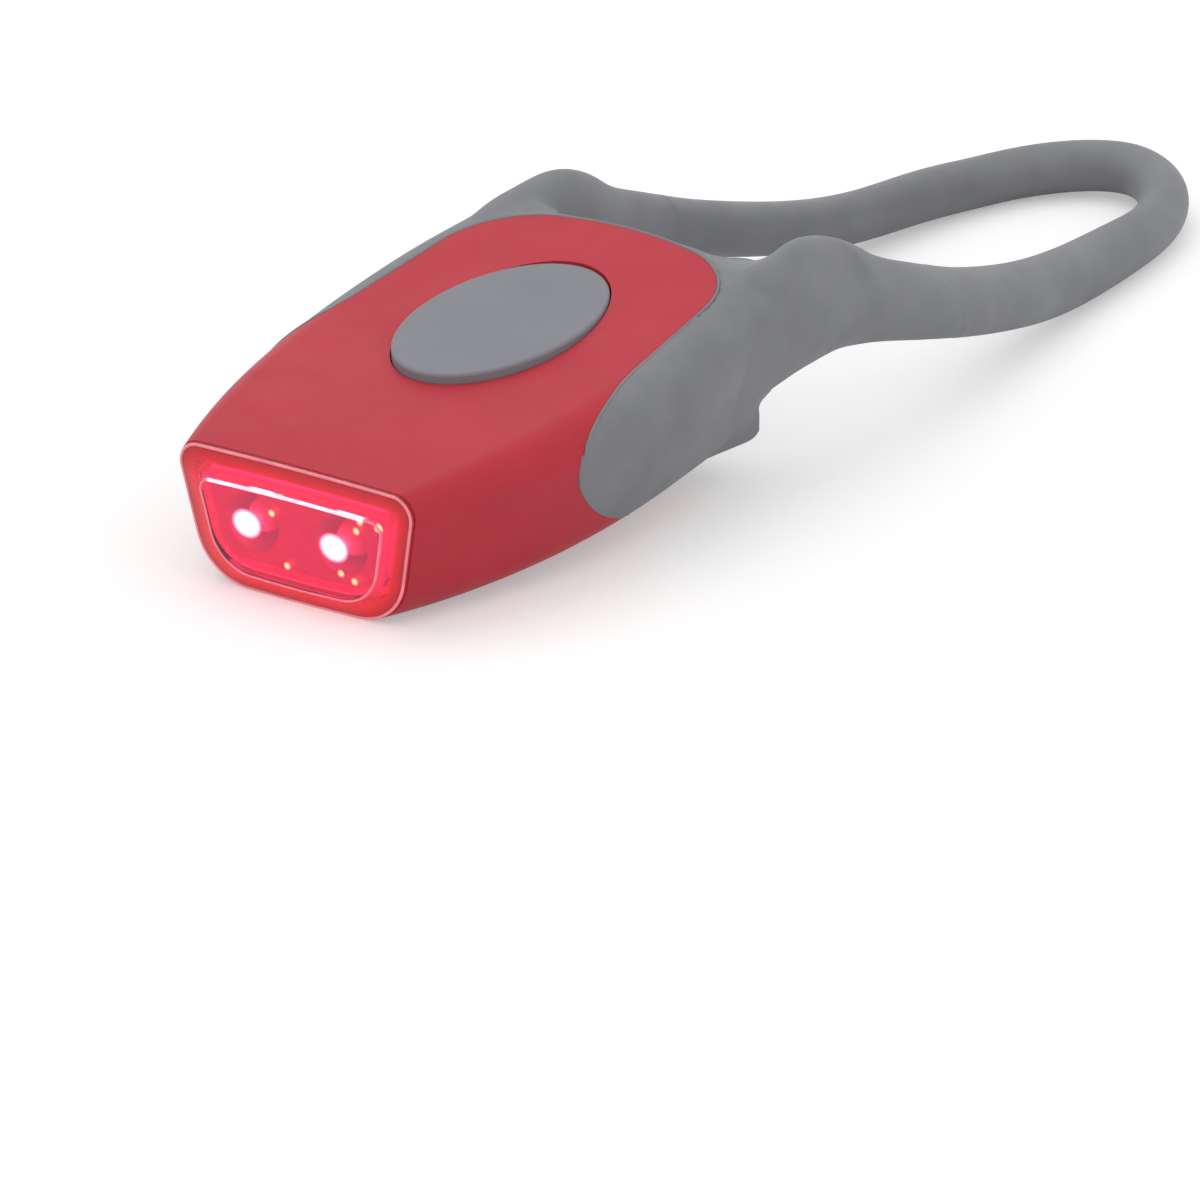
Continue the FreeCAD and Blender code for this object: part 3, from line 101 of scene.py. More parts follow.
class Slot(Enum):
    """The finishes that a scene can repaint."""

    SHELL = "red_shell"
    LENS = "red_lens"
    REFLECTOR = "reflector_metal"
    SOURCE = "light_source"
    BOARD = "board_green"
    STEEL = "steel"
    CELL = "cell_steel"
    BRASS = "contact_brass"
    BLACK = "black_plastic"
    SWITCH = "switch_white"
    BUTTON = "grey_button"
    SILICONE = "grey_silicone"
    RUBBER = "black_rubber"


def linear(red: float, green: float, blue: float) -> Colour:
    """Turns a colour as it looks on screen into the numbers that a shader takes.

    Args:
        red: Red from 0 to 255.
        green: Green from 0 to 255.
        blue: Blue from 0 to 255.

    Returns:
        The colour in linear light.
    """

    def one(value: float) -> float:
        """One channel in linear light."""
        share = value / 255
        return share / 12.92 if share <= 0.04045 else ((share + 0.055) / 1.055) ** 2.4

    return one(red), one(green), one(blue)


@dataclass(frozen=True)
class Resting:
    """How the lamp lies: nose down on its front edge, with the strap's tip on the ground.

    The lamp's own axes run x across, y back from the lens and z up from its underside, in millimetres.
    """

    turn: Matrix
    origin: Vector

    @classmethod
    def from_joints(cls, joints: list[dict]) -> "Resting":
        """Reads the tilt from the sleeve's slide and the origin from the strap's hinge.

        Args:
            joints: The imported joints.

        Returns:
            The lamp's place in the row frame.
        """
        named = {joint["name"]: joint for joint in joints}
        slide = named["sleeve_slide"]["axis"]
        turn = Matrix.Rotation(math.atan2(slide[2], slide[1]), 3, "X")
        hinge = Vector((0.0, STRAP_HINGE[0], STRAP_HINGE[1]))
        return cls(turn, Vector(named["strap_bend"]["pos_m"]) - turn @ (hinge * MM))

    def place(self, x: float, y: float, z: float) -> Vector:
        """A point of the lamp in the row frame, in metres."""
        return self.origin + self.turn @ (Vector((x, y, z)) * MM)

    def back(self, point: Vector) -> Vector:
        """A point of the row frame in the lamp's own axes, in millimetres."""
        return (self.turn.transposed() @ (point - self.origin)) / MM

    def back_all(self, points: numpy.ndarray) -> numpy.ndarray:
        """Points of the row frame, one a row, in the lamp's own axes."""
        return (points - numpy.array(self.origin)) @ numpy.array(self.turn) / MM

    def place_all(self, points: numpy.ndarray) -> numpy.ndarray:
        """Points in the lamp's own axes, one a row, in the row frame."""
        return numpy.array(self.origin) + points @ numpy.array(self.turn).T * MM


class NodeSketch:
    """A material's nodes, added one at a time."""

    def __init__(self, name: str) -> None:
        """Starts an empty material.

        Args:
            name: The material's name.
        """
        self.material = bpy.data.materials.new(name)
        self.material.use_nodes = True
        self.tree = self.material.node_tree
        self.tree.nodes.clear()

    def add(self, kind: str, sockets: dict | None = None, **settings: object) -> bpy.types.Node:
        """Adds a node.

        Args:
            kind: The node's type name, without its prefix.
            sockets: Input values or links, by input name or number.
            **settings: Properties of the node.

        Returns:
            The new node.
        """
        node = self.tree.nodes.new("ShaderNode" + kind)
        for name, value in settings.items():
            setattr(node, name, value)
        for name, value in (sockets or {}).items():
            if isinstance(value, bpy.types.NodeSocket):
                self.tree.links.new(value, node.inputs[name])
            else:
                node.inputs[name].default_value = value
        return node

    def place(self, stretch: Row = (1.0, 1.0, 1.0)) -> bpy.types.NodeSocket:
        """Object coordinates, stretched along the axes."""
        coordinates = self.add("TexCoord")
        return self.add("Mapping", {"Vector": coordinates.outputs["Object"], "Scale": stretch}).outputs[0]

    def noise(self, place: bpy.types.NodeSocket, grain: float, detail: float = 2.0) -> bpy.types.NodeSocket:
        """Smooth noise whose spots are about grain millimetres across."""
        sockets = {"Vector": place, "Scale": 1 / (grain * MM), "Detail": detail, "Roughness": NOISE_ROUGHNESS}
        return self.add("TexNoise", sockets, noise_dimensions="3D").outputs[0]

    def span(self, value: bpy.types.NodeSocket, low: float, high: float) -> bpy.types.NodeSocket:
        """Noise, spread between two numbers."""
        ends = {"From Min": NOISE_LOW, "From Max": NOISE_HIGH, "To Min": low, "To Max": high}
        return self.add("MapRange", {"Value": value, **ends}).outputs[0]

    def relief(self, height: bpy.types.NodeSocket, depth: float) -> bpy.types.NodeSocket:
        """A surface raised by noise, depth millimetres high."""
        return self.add("Bump", {"Height": height, "Distance": depth * MM, "Strength": 1.0}).outputs[0]

    def blend(
        self, share: bpy.types.NodeSocket, first: Colour | bpy.types.NodeSocket, second: Colour
    ) -> bpy.types.NodeSocket:
        """A mix of two colours.

        Args:
            share: How much of the second it has.
            first: The first colour, or the socket that it comes from.
            second: The second colour.

        Returns:
            The mixed colour.
        """
        start = first if isinstance(first, bpy.types.NodeSocket) else (*first, 1.0)
        sockets = {0: share, MIX_FIRST: start, MIX_SECOND: (*second, 1.0)}
        return self.add("Mix", sockets, data_type="RGBA").outputs[MIX_RESULT]

    def times(self, colour: bpy.types.NodeSocket, attribute: str) -> bpy.types.NodeSocket:
        """A colour times an attribute of the piece."""
        share = self.add("Attribute", attribute_name=attribute).outputs["Fac"]
        return self.add("VectorMath", {0: colour, "Scale": share}, operation="SCALE").outputs[0]

    def spots(
        self, centres: tuple[Vector, ...], core: float, edge: float, squeeze: float = 1.0
    ) -> bpy.types.NodeSocket:
        """1 within core millimetres of the nearest of some places, 0 past edge.

        Args:
            centres: The places in the row frame.
            core: Where the spots begin to fade.
            edge: Where they end.
            squeeze: What widths are multiplied by first, less than 1 for spots that are wider than high.

        Returns:
            The socket with the share.
        """
        place = self.place((squeeze, 1.0, 1.0))
        nearest = None
        for centre in centres:
            ends = {0: place, 1: (centre.x * squeeze, centre.y, centre.z)}
            span = self.add("VectorMath", ends, operation="DISTANCE").outputs["Value"]
            if nearest is None:
                nearest = span
            else:
                nearest = self.add("Math", {0: nearest, 1: span}, operation="MINIMUM").outputs[0]
        ends = {"From Min": core * MM, "From Max": edge * MM, "To Min": 1.0, "To Max": 0.0}
        sockets = {"Value": nearest, **ends}
        return self.add("MapRange", sockets, interpolation_type="SMOOTHSTEP").outputs[0]

    def finish(self, kind: str, sockets: dict) -> bpy.types.Material:
        """Adds the last shader and ends the tree in it.

        Args:
            kind: The shader's type name, without its prefix.
            sockets: Its input values or links.

        Returns:
            The material.
        """
        self.add("OutputMaterial", {"Surface": self.add(kind, sockets).outputs[0]})
        return self.material


@dataclass(frozen=True)
class Moulded:
    """A moulded surface: soft blotches of colour, uneven gloss and a fine grain.

    Lengths are in millimetres.
    """

    name: str
    colour: Colour
    drift: Colour
    blotch: float = 7.0
    gloss: Pair = (0.42, 0.5)
    gloss_share: float = 0.4
    grain: float = 0.22
    grain_height: float = 0.004
    sheen: float = 0.0
    sheen_roughness: float = 0.5
    specular: float = 0.5
    metallic: float = 0.0
    stretch: Row = (1.0, 1.0, 1.0)

    def build(self) -> bpy.types.Material:
        """Makes the material.

        Returns:
            The material.
        """
        sketch = NodeSketch(self.name)
        place = sketch.place(self.stretch)
        blotches = sketch.span(sketch.noise(place, self.blotch), 0.0, 1.0)
        dull = sketch.noise(place, self.blotch * self.gloss_share)
        sockets = {
            "Base Color": sketch.blend(blotches, self.colour, self.drift),
            "Roughness": sketch.span(dull, *self.gloss),
            "Metallic": self.metallic,
            "Specular IOR Level": self.specular,
            "Sheen Weight": self.sheen,
            "Sheen Roughness": self.sheen_roughness,
            "Normal": sketch.relief(sketch.noise(place, self.grain), self.grain_height),
        }
        return sketch.finish("BsdfPrincipled", sockets)


@dataclass(frozen=True)
class ClearRed:
    """Clear red plastic whose light from behind is painted: painted glow on its border, and on its panel
    painted glow, painted discs of the sources and painted glints.
    """

    sources: tuple[Vector, ...]
    glints: tuple[Vector, ...]
    name: str = "clear_red_lens"
    tint: Colour = (1.0, 0.09, 0.2)
    # Painted glow of the border, in two tones mixed by noise.
    border: Colour = (0.46, 0.006, 0.018)
    border_glow_drift: Colour = (0.34, 0.008, 0.022)
    # Painted glow of the panel's inner face, in two tones mixed by noise.
    panel: Colour = (0.37, 0.024, 0.1)
    panel_glow_drift: Colour = (0.31, 0.018, 0.11)
    # Painted glints, which are reflections of the sources, and the painted white discs of the sources.
    glint: Colour = (2.6, 2.9, 0.9)
    white: Colour = (5.0, 5.0, 5.0)
    source_size: Pair = (0.7, 1.35)
    source_squeeze: float = 0.88
    glint_size: Pair = (0.1, 0.4)
    roughness: float = 0.06
    refraction: float = 1.49
    flow_grain: float = 2.5
    flow_height: float = 0.012
    mottle_grain: float = 1.3
    mottle_detail: float = 3.0

    def build(self) -> bpy.types.Material:
        """Makes the material.

        Returns:
            The material.
        """
        sketch = NodeSketch(self.name)
        place = sketch.place()
        flow = sketch.noise(place, self.flow_grain)
        mottle = sketch.span(sketch.noise(place, self.mottle_grain, self.mottle_detail), 0.0, 1.0)
        # Painted light: glow on the panel with painted glints and painted source discs, and glow on the
        # border.
        inside = sketch.blend(sketch.span(flow, 0.0, 1.0), self.panel, self.panel_glow_drift)
        inside = sketch.blend(sketch.spots(self.glints, *self.glint_size), inside, self.glint)
        discs = sketch.spots(self.sources, *self.source_size, self.source_squeeze)
        inside = sketch.times(sketch.blend(discs, inside, self.white), PANEL_GLOW_MASK)
        edge = sketch.times(sketch.blend(mottle, self.border, self.border_glow_drift), BORDER_GLOW_MASK)
        sockets = {
            "Base Color": (*self.tint, 1.0),
            "Roughness": self.roughness,
            "IOR": self.refraction,
            "Transmission Weight": 1.0,
            "Emission Color": sketch.add("VectorMath", {0: inside, 1: edge}, operation="ADD").outputs[0],
            "Emission Strength": 1.0,
            "Normal": sketch.relief(flow, self.flow_height),
        }
        return sketch.finish("BsdfPrincipled", sockets)


@dataclass(frozen=True)
class PaintedLightLine:
    """A bead along an edge of the lens that glows with painted light, a painted highlight of the edge."""

    name: str = "lens_edge_painted_glow"
    colour: Colour = (0.62, 0.17, 0.2)
    # The painted light that the bead glows with.
    light: Colour = (0.3, 0.09, 0.12)
    grain: float = 2.0
    unevenness: Pair = (0.7, 1.3)
    roughness: float = 0.3

    def build(self) -> bpy.types.Material:
        """Makes the material.

        Returns:
            The material.
        """
        sketch = NodeSketch(self.name)
        sockets = {
            "Base Color": (*self.colour, 1.0),
            "Roughness": self.roughness,
            "Emission Color": (*self.light, 1.0),
            "Emission Strength": sketch.span(sketch.noise(sketch.place(), self.grain), *self.unevenness),
        }
        return sketch.finish("BsdfPrincipled", sockets)


@dataclass(frozen=True)
class GlowPaintedMetal:
    """Metallised plastic with a painted deep pink glow, brighter near the light sources, that stands in for
    their light on it.
    """

    name: str
    sources: tuple[Vector, ...]
    # Painted glow, brighter near the sources and fainter far from them.
    near: Colour = (0.09, 0.012, 0.03)
    far: Colour = (0.07, 0.006, 0.02)
    glow_size: Pair = (1.2, 3.4)
    metal: Colour = (0.3, 0.2, 0.22)
    metal_drift: Colour = (0.34, 0.23, 0.25)
    roughness: float = 0.45
    mottle_grain: float = 1.1
    mottle_detail: float = 3.0
    unevenness: Pair = (0.95, 1.05)

    def build(self) -> bpy.types.Material:
        """Makes the material.

        Returns:
            The material.
        """
        sketch = NodeSketch(self.name)
        spots = sketch.noise(sketch.place(), self.mottle_grain, self.mottle_detail)
        mottle = sketch.span(spots, 0.0, 1.0)
        near = sketch.spots(self.sources, *self.glow_size)
        sockets = {
            "Base Color": sketch.blend(mottle, self.metal, self.metal_drift),
            "Metallic": 1.0,
            "Roughness": self.roughness,
            "Emission Color": sketch.blend(near, self.far, self.near),
            "Emission Strength": sketch.span(mottle, *self.unevenness),
        }
        return sketch.finish("BsdfPrincipled", sockets)


@dataclass(frozen=True)
class GlowingDome:
    """A lit dome, brightest on its axis."""

    name: str
    sources: tuple[Vector, ...]
    colour: Colour = (0.5, 0.35, 0.38)
    rim: Colour = (0.1, 0.03, 0.05)
    tip: Colour = (0.22, 0.12, 0.14)
    tip_size: Pair = (0.6, 1.8)
    roughness: float = 0.15

    def build(self) -> bpy.types.Material:
        """Makes the material.

        Returns:
            The material.
        """
        sketch = NodeSketch(self.name)
        sockets = {
            "Base Color": (*self.colour, 1.0),
            "Roughness": self.roughness,
            "Emission Color": sketch.blend(sketch.spots(self.sources, *self.tip_size), self.rim, self.tip),
            "Emission Strength": 1.0,
        }
        return sketch.finish("BsdfPrincipled", sockets)


@dataclass(frozen=True)
class Metal:
    """Plain metal with fine drawn lines along one axis."""

    name: str
    colour: Colour
    roughness: float = 0.3
    lines: Row = (1.0, 12.0, 12.0)
    shade: float = 0.85
    gloss_spread: Pair = (-0.06, 0.08)
    blotch: float = 1.5
    grain: float = 0.3
    grain_height: float = 0.002

    def build(self) -> bpy.types.Material:
        """Makes the material.

        Returns:
            The material.
        """
        return Moulded(
            self.name,
            self.colour,
            tuple(channel * self.shade for channel in self.colour),
            blotch=self.blotch,
            gloss=tuple(self.roughness + step for step in self.gloss_spread),
            grain=self.grain,
            grain_height=self.grain_height,
            metallic=1.0,
            stretch=self.lines,
        ).build()


class Palette:
    """Every finish of the light, made once."""

    def __init__(
        self, domes: tuple[Vector, ...], sources: tuple[Vector, ...], glints: tuple[Vector, ...]
    ) -> None:
        """Makes the finishes.

        Args:
            domes: The tips of the light sources, in the row frame.
            sources: Where their painted discs go on the lens.
            glints: Where the painted glints of the reflector go on it.
        """
        red, red_drift = linear(195, 56, 69), linear(188, 53, 65)
        grey, grey_drift = linear(133, 134, 139), linear(121, 122, 127)
        cap, cap_drift = linear(134, 135, 141), linear(129, 130, 136)
        # Beads of painted light: a pink painted glow line, and a white painted highlight.
        self.painted_glow_line = PaintedLightLine().build()
        self.painted_highlight_line = PaintedLightLine("lens_edge_painted_highlight", (0.75, 0.55, 0.6), (0.65, 0.5, 0.55)).build()
        finishes = {
            Slot.SHELL: Moulded("soft_red_plastic", red, red_drift, gloss=(0.4, 0.48), specular=0.15),
            Slot.LENS: ClearRed(sources, glints),
            Slot.REFLECTOR: GlowPaintedMetal("reflector_painted_glow", domes),
            Slot.SOURCE: GlowingDome("lit_dome", domes),
            Slot.BOARD: Moulded("green_laminate", (0.03, 0.2, 0.08), (0.02, 0.15, 0.06), blotch=2.0),
            Slot.STEEL: Metal("plain_steel", (0.55, 0.55, 0.57)),
            Slot.CELL: Metal("cell_can_steel", (0.65, 0.65, 0.67), roughness=0.24),
            Slot.BRASS: Metal("plated_brass", (0.75, 0.6, 0.3)),
            Slot.BLACK: Moulded("black_moulding", (0.02, 0.02, 0.022), (0.03, 0.03, 0.032)),
            Slot.SWITCH: Moulded("white_moulding", (0.8, 0.8, 0.77), (0.75, 0.75, 0.72), gloss=(0.3, 0.4)),
            Slot.BUTTON: Moulded("button_rubber", cap, cap_drift, gloss=(0.5, 0.58), specular=0.3),
            Slot.SILICONE: Moulded(
                "matt_silicone",
                grey,
                grey_drift,
                blotch=6.0,
                gloss=(0.55, 0.64),
                grain=0.3,
                sheen=0.05,
                specular=0.4,
            ),
            Slot.RUBBER: Moulded("black_rubber", (0.02, 0.02, 0.02), (0.03, 0.03, 0.03), gloss=(0.6, 0.7)),
        }
        self.finishes = {slot: finish.build() for slot, finish in finishes.items()}

    def dress(self, piece: bpy.types.Object, slot: Slot) -> None:
        """Gives a piece one finish.

        Args:
            piece: The piece.
            slot: Its finish.
        """
        piece.data.materials.clear()
        piece.data.materials.append(self.finishes[slot])


def linked(name: str, data: bpy.types.ID) -> bpy.types.Object:
    """Puts data into the scene as an object.

    Args:
        name: The object's name.
        data: Its mesh, lamp or camera.

    Returns:
        The object.
    """
    thing = bpy.data.objects.new(name, data)
    bpy.context.scene.collection.objects.link(thing)
    return thing


def new_piece(name: str, points: list, faces: list, edges: list | None = None) -> bpy.types.Object:
    """Makes an object from points in metres.

    Args:
        name: The piece's name.
        points: Its points.
        faces: Its faces, as numbers of points.
        edges: Its loose edges, if it is a path.

    Returns:
        The object, linked to the scene.
    """
    mesh = bpy.data.meshes.new(name)
    mesh.from_pydata([tuple(point) for point in points], edges or [], faces)
    mesh.update()
    return linked(name, mesh)


def report(piece: bpy.types.Object) -> None:
    """Logs a finished piece."""
    LOG.info("%s: %d faces", piece.name, len(piece.data.polygons))


def joined_points(nodes: list[bpy.types.Object]) -> tuple[list[Vector], list[tuple[int, ...]]]:
    """Merges the loose triangles of some nodes into one mesh.

    Args:
        nodes: The nodes.

    Returns:
        Its points and its faces.
    """
    joined = bmesh.new()
    for node in nodes:
        joined.from_mesh(node.data)
    bmesh.ops.remove_doubles(joined, verts=joined.verts, dist=JOIN_DISTANCE)
    joined.verts.index_update()
    points = [vertex.co.copy() for vertex in joined.verts]
    faces = [tuple(vertex.index for vertex in face.verts) for face in joined.faces]
    joined.free()
    return points, faces


def smoothed_copy(node: bpy.types.Object, name: str) -> bpy.types.Object:
    """A copy of a node whose curved faces shade smoothly and whose edges stay crisp.

    Args:
        node: The node.
        name: The copy's name.

    Returns:
        The copy.
    """
    points, faces = joined_points([node])
    copy = new_piece(name, points, faces)
    copy.data.shade_smooth()
    copy.data.set_sharp_from_angle(angle=math.radians(CRISP_ANGLE))
    weighted = copy.modifiers.new("even_shading", "WEIGHTED_NORMAL")
    weighted.keep_sharp = True
    weighted.weight = SHADING_WEIGHT
    settle(copy)
    return copy


def dress_copies(nodes: dict, palette: Palette, body: Body, rows: tuple[tuple[str, str, Slot], ...]) -> None:
    """Puts a smooth, dressed copy in the place of each of some nodes.

    Args:
        nodes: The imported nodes.
        palette: The finishes.
        body: What the copies move with.
        rows: Each node's name, its copy's name and its finish.
    """
    for node, name, slot in rows:
        piece = smoothed_copy(nodes[node], name)
        palette.dress(piece, slot)
        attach(piece, body.value)
        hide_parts(node)
        report(piece)


def settle(piece: bpy.types.Object) -> None:
    """Turns a piece with its modifiers into plain mesh.

    Args:
        piece: The piece.
    """
    graph = bpy.context.evaluated_depsgraph_get()
    graph.update()
    mesh = bpy.data.meshes.new_from_object(piece.evaluated_get(graph))
    mesh.name = piece.name
    piece.modifiers.clear()
    piece.data = mesh


def smooth_rounds(piece: bpy.types.Object, name: str, rounds: int) -> None:
    """Draws each point towards its neighbours, round after round.

    Args:
        piece: The piece.
        name: The modifier's name.
        rounds: How many rounds.
    """
    smooth = piece.modifiers.new(name, "SMOOTH")
    smooth.factor = SMOOTH_FACTOR
    smooth.iterations = rounds
    settle(piece)


def drawn_in(ring: list[Vector], shares: Row) -> list[list[Vector]]:
    """Copies of a ring, each drawn in to a share of its size."""
    middle = sum(ring, Vector()) / len(ring)
    return [[middle.lerp(point, share) for point in ring] for share in shares]


def lofted(rings: list[list[Vector]], gap: int) -> list[tuple[int, ...]]:
    """The faces of a closed skin over rings with equally many points, the last one joined to the first.

    Args:
        rings: The rings, in order.
        gap: The number of a ring that isn't joined to the one before it. Both are filled instead.

    Returns:
        The faces.
    """
    count = len(rings[0])
    faces = []
    for here in range(len(rings)):
        there = (here + 1) % len(rings)
        if there == gap:
            continue
        for i in range(count):
            j = (i + 1) % count
            faces.append((here * count + i, here * count + j, there * count + j, there * count + i))
    faces.append(tuple((gap - 1) * count + i for i in range(count)))
    faces.append(tuple(gap * count + i for i in reversed(range(count))))
    return faces


def outward(piece: bpy.types.Object) -> None:
    """Turns a closed mesh's faces outwards.

    Args:
        piece: The piece.
    """
    skin = bmesh.new()
    skin.from_mesh(piece.data)
    bmesh.ops.remove_doubles(skin, verts=skin.verts, dist=JOIN_DISTANCE)
    bmesh.ops.recalc_face_normals(skin, faces=skin.faces)
    skin.to_mesh(piece.data)
    skin.free()


def bead_tree() -> tuple[bpy.types.NodeTree, list]:
    """A tree that lays a round bead along the edges of its input.

    Returns:
        The tree, and its input sockets for the bead's radius, sides and finish.
    """
    tree = bpy.data.node_groups.new("round_bead", "GeometryNodeTree")
    for way in ("INPUT", "OUTPUT"):
        tree.interface.new_socket(name="Geometry", in_out=way, socket_type="NodeSocketGeometry")
    sockets = [
        tree.interface.new_socket(name=name, in_out="INPUT", socket_type=kind)
        for name, kind in (
            ("Bead radius", "NodeSocketFloat"),
            ("Bead sides", "NodeSocketInt"),
            ("Finish", "NodeSocketMaterial"),
        )
    ]
    start = tree.nodes.new("NodeGroupInput")
    kinds = ("MeshToCurve", "CurveToMesh", "SetShadeSmooth", "RealizeInstances", "SetMaterial")
    steps = [tree.nodes.new("GeometryNode" + kind) for kind in kinds]
    line = [start, *steps, tree.nodes.new("NodeGroupOutput")]
    for here, there in zip(line, line[1:]):
        tree.links.new(here.outputs[0], there.inputs[0])
    profile = tree.nodes.new("GeometryNodeCurvePrimitiveCircle")
    tree.links.new(start.outputs["Bead radius"], profile.inputs["Radius"])
    tree.links.new(start.outputs["Bead sides"], profile.inputs["Resolution"])
    tree.links.new(profile.outputs[0], steps[1].inputs["Profile Curve"])
    tree.links.new(start.outputs["Finish"], steps[-1].inputs["Material"])
    steps[1].inputs["Fill Caps"].default_value = True
    return tree, sockets


def bead(
    name: str, path: list[Vector], edges: Edges, radius: float, finish: bpy.types.Material
) -> bpy.types.Object:
    """A thin round bead along the edges of a path.

    Args:
        name: The piece's name.
        path: The path's points, in metres.
        edges: Its edges, as pairs of numbers of points.
        radius: The bead's radius in millimetres.
        finish: Its material.

    Returns:
        The bead.
    """
    piece = new_piece(name, path, [], edges)
    tree, sockets = bead_tree()
    modifier = piece.modifiers.new(tree.name, "NODES")
    modifier.node_group = tree
    for socket, value in zip(sockets, (radius * MM, BEAD_SIDES, finish)):
        modifier[socket.identifier] = value
    settle(piece)
    outward(piece)
    piece.data.shade_smooth()
    return piece


def closed_path(count: int) -> Edges:
    """The edges of a ring of points."""
    return [(i, (i + 1) % count) for i in range(count)]


def ramp(value: float | numpy.ndarray, start: float, full: float) -> float | numpy.ndarray:
    """A soft step from 0 at start to 1 at full."""
    share = numpy.clip((value - start) / (full - start), 0.0, 1.0)
    return share * share * (3 - 2 * share)


def window(value: numpy.ndarray, span: Span) -> numpy.ndarray:
    """1 between the middle two of four numbers, and softly down to 0 at the outer two."""
    return ramp(value, span[0], span[1]) * ramp(value, span[3], span[2])


def measured(mesh: bpy.types.Mesh, what: str = "co") -> numpy.ndarray:
    """A mesh's points or their normals.

    Args:
        mesh: The mesh.
        what: The name that Blender has for them.

    Returns:
        One row for each point.
    """
    flat = numpy.empty(len(mesh.vertices) * 3)
    mesh.vertices.foreach_get(what, flat)
    return flat.reshape(-1, 3)


def move_points(piece: bpy.types.Object, points: numpy.ndarray) -> None:
    """Gives a piece's points new places, one row each."""
    piece.data.vertices.foreach_set("co", points.ravel())
    piece.data.update()


@dataclass
class LampShell:
    """The red moulding, the cover under the cells and what holds the cover."""

    def build(self, nodes: dict, palette: Palette) -> None:
        """Dresses the moulding, the cover and its screws.

        Args:
            nodes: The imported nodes.
            palette: The finishes.
        """
        rows = (
            ("top_shell", "red_moulding", Slot.SHELL),
            ("bottom_cover", "cell_cover", Slot.SHELL),
            ("cover_screws", "cover_screw_pair", Slot.STEEL),
        )
        dress_copies(nodes, palette, Body.LAMP, rows)


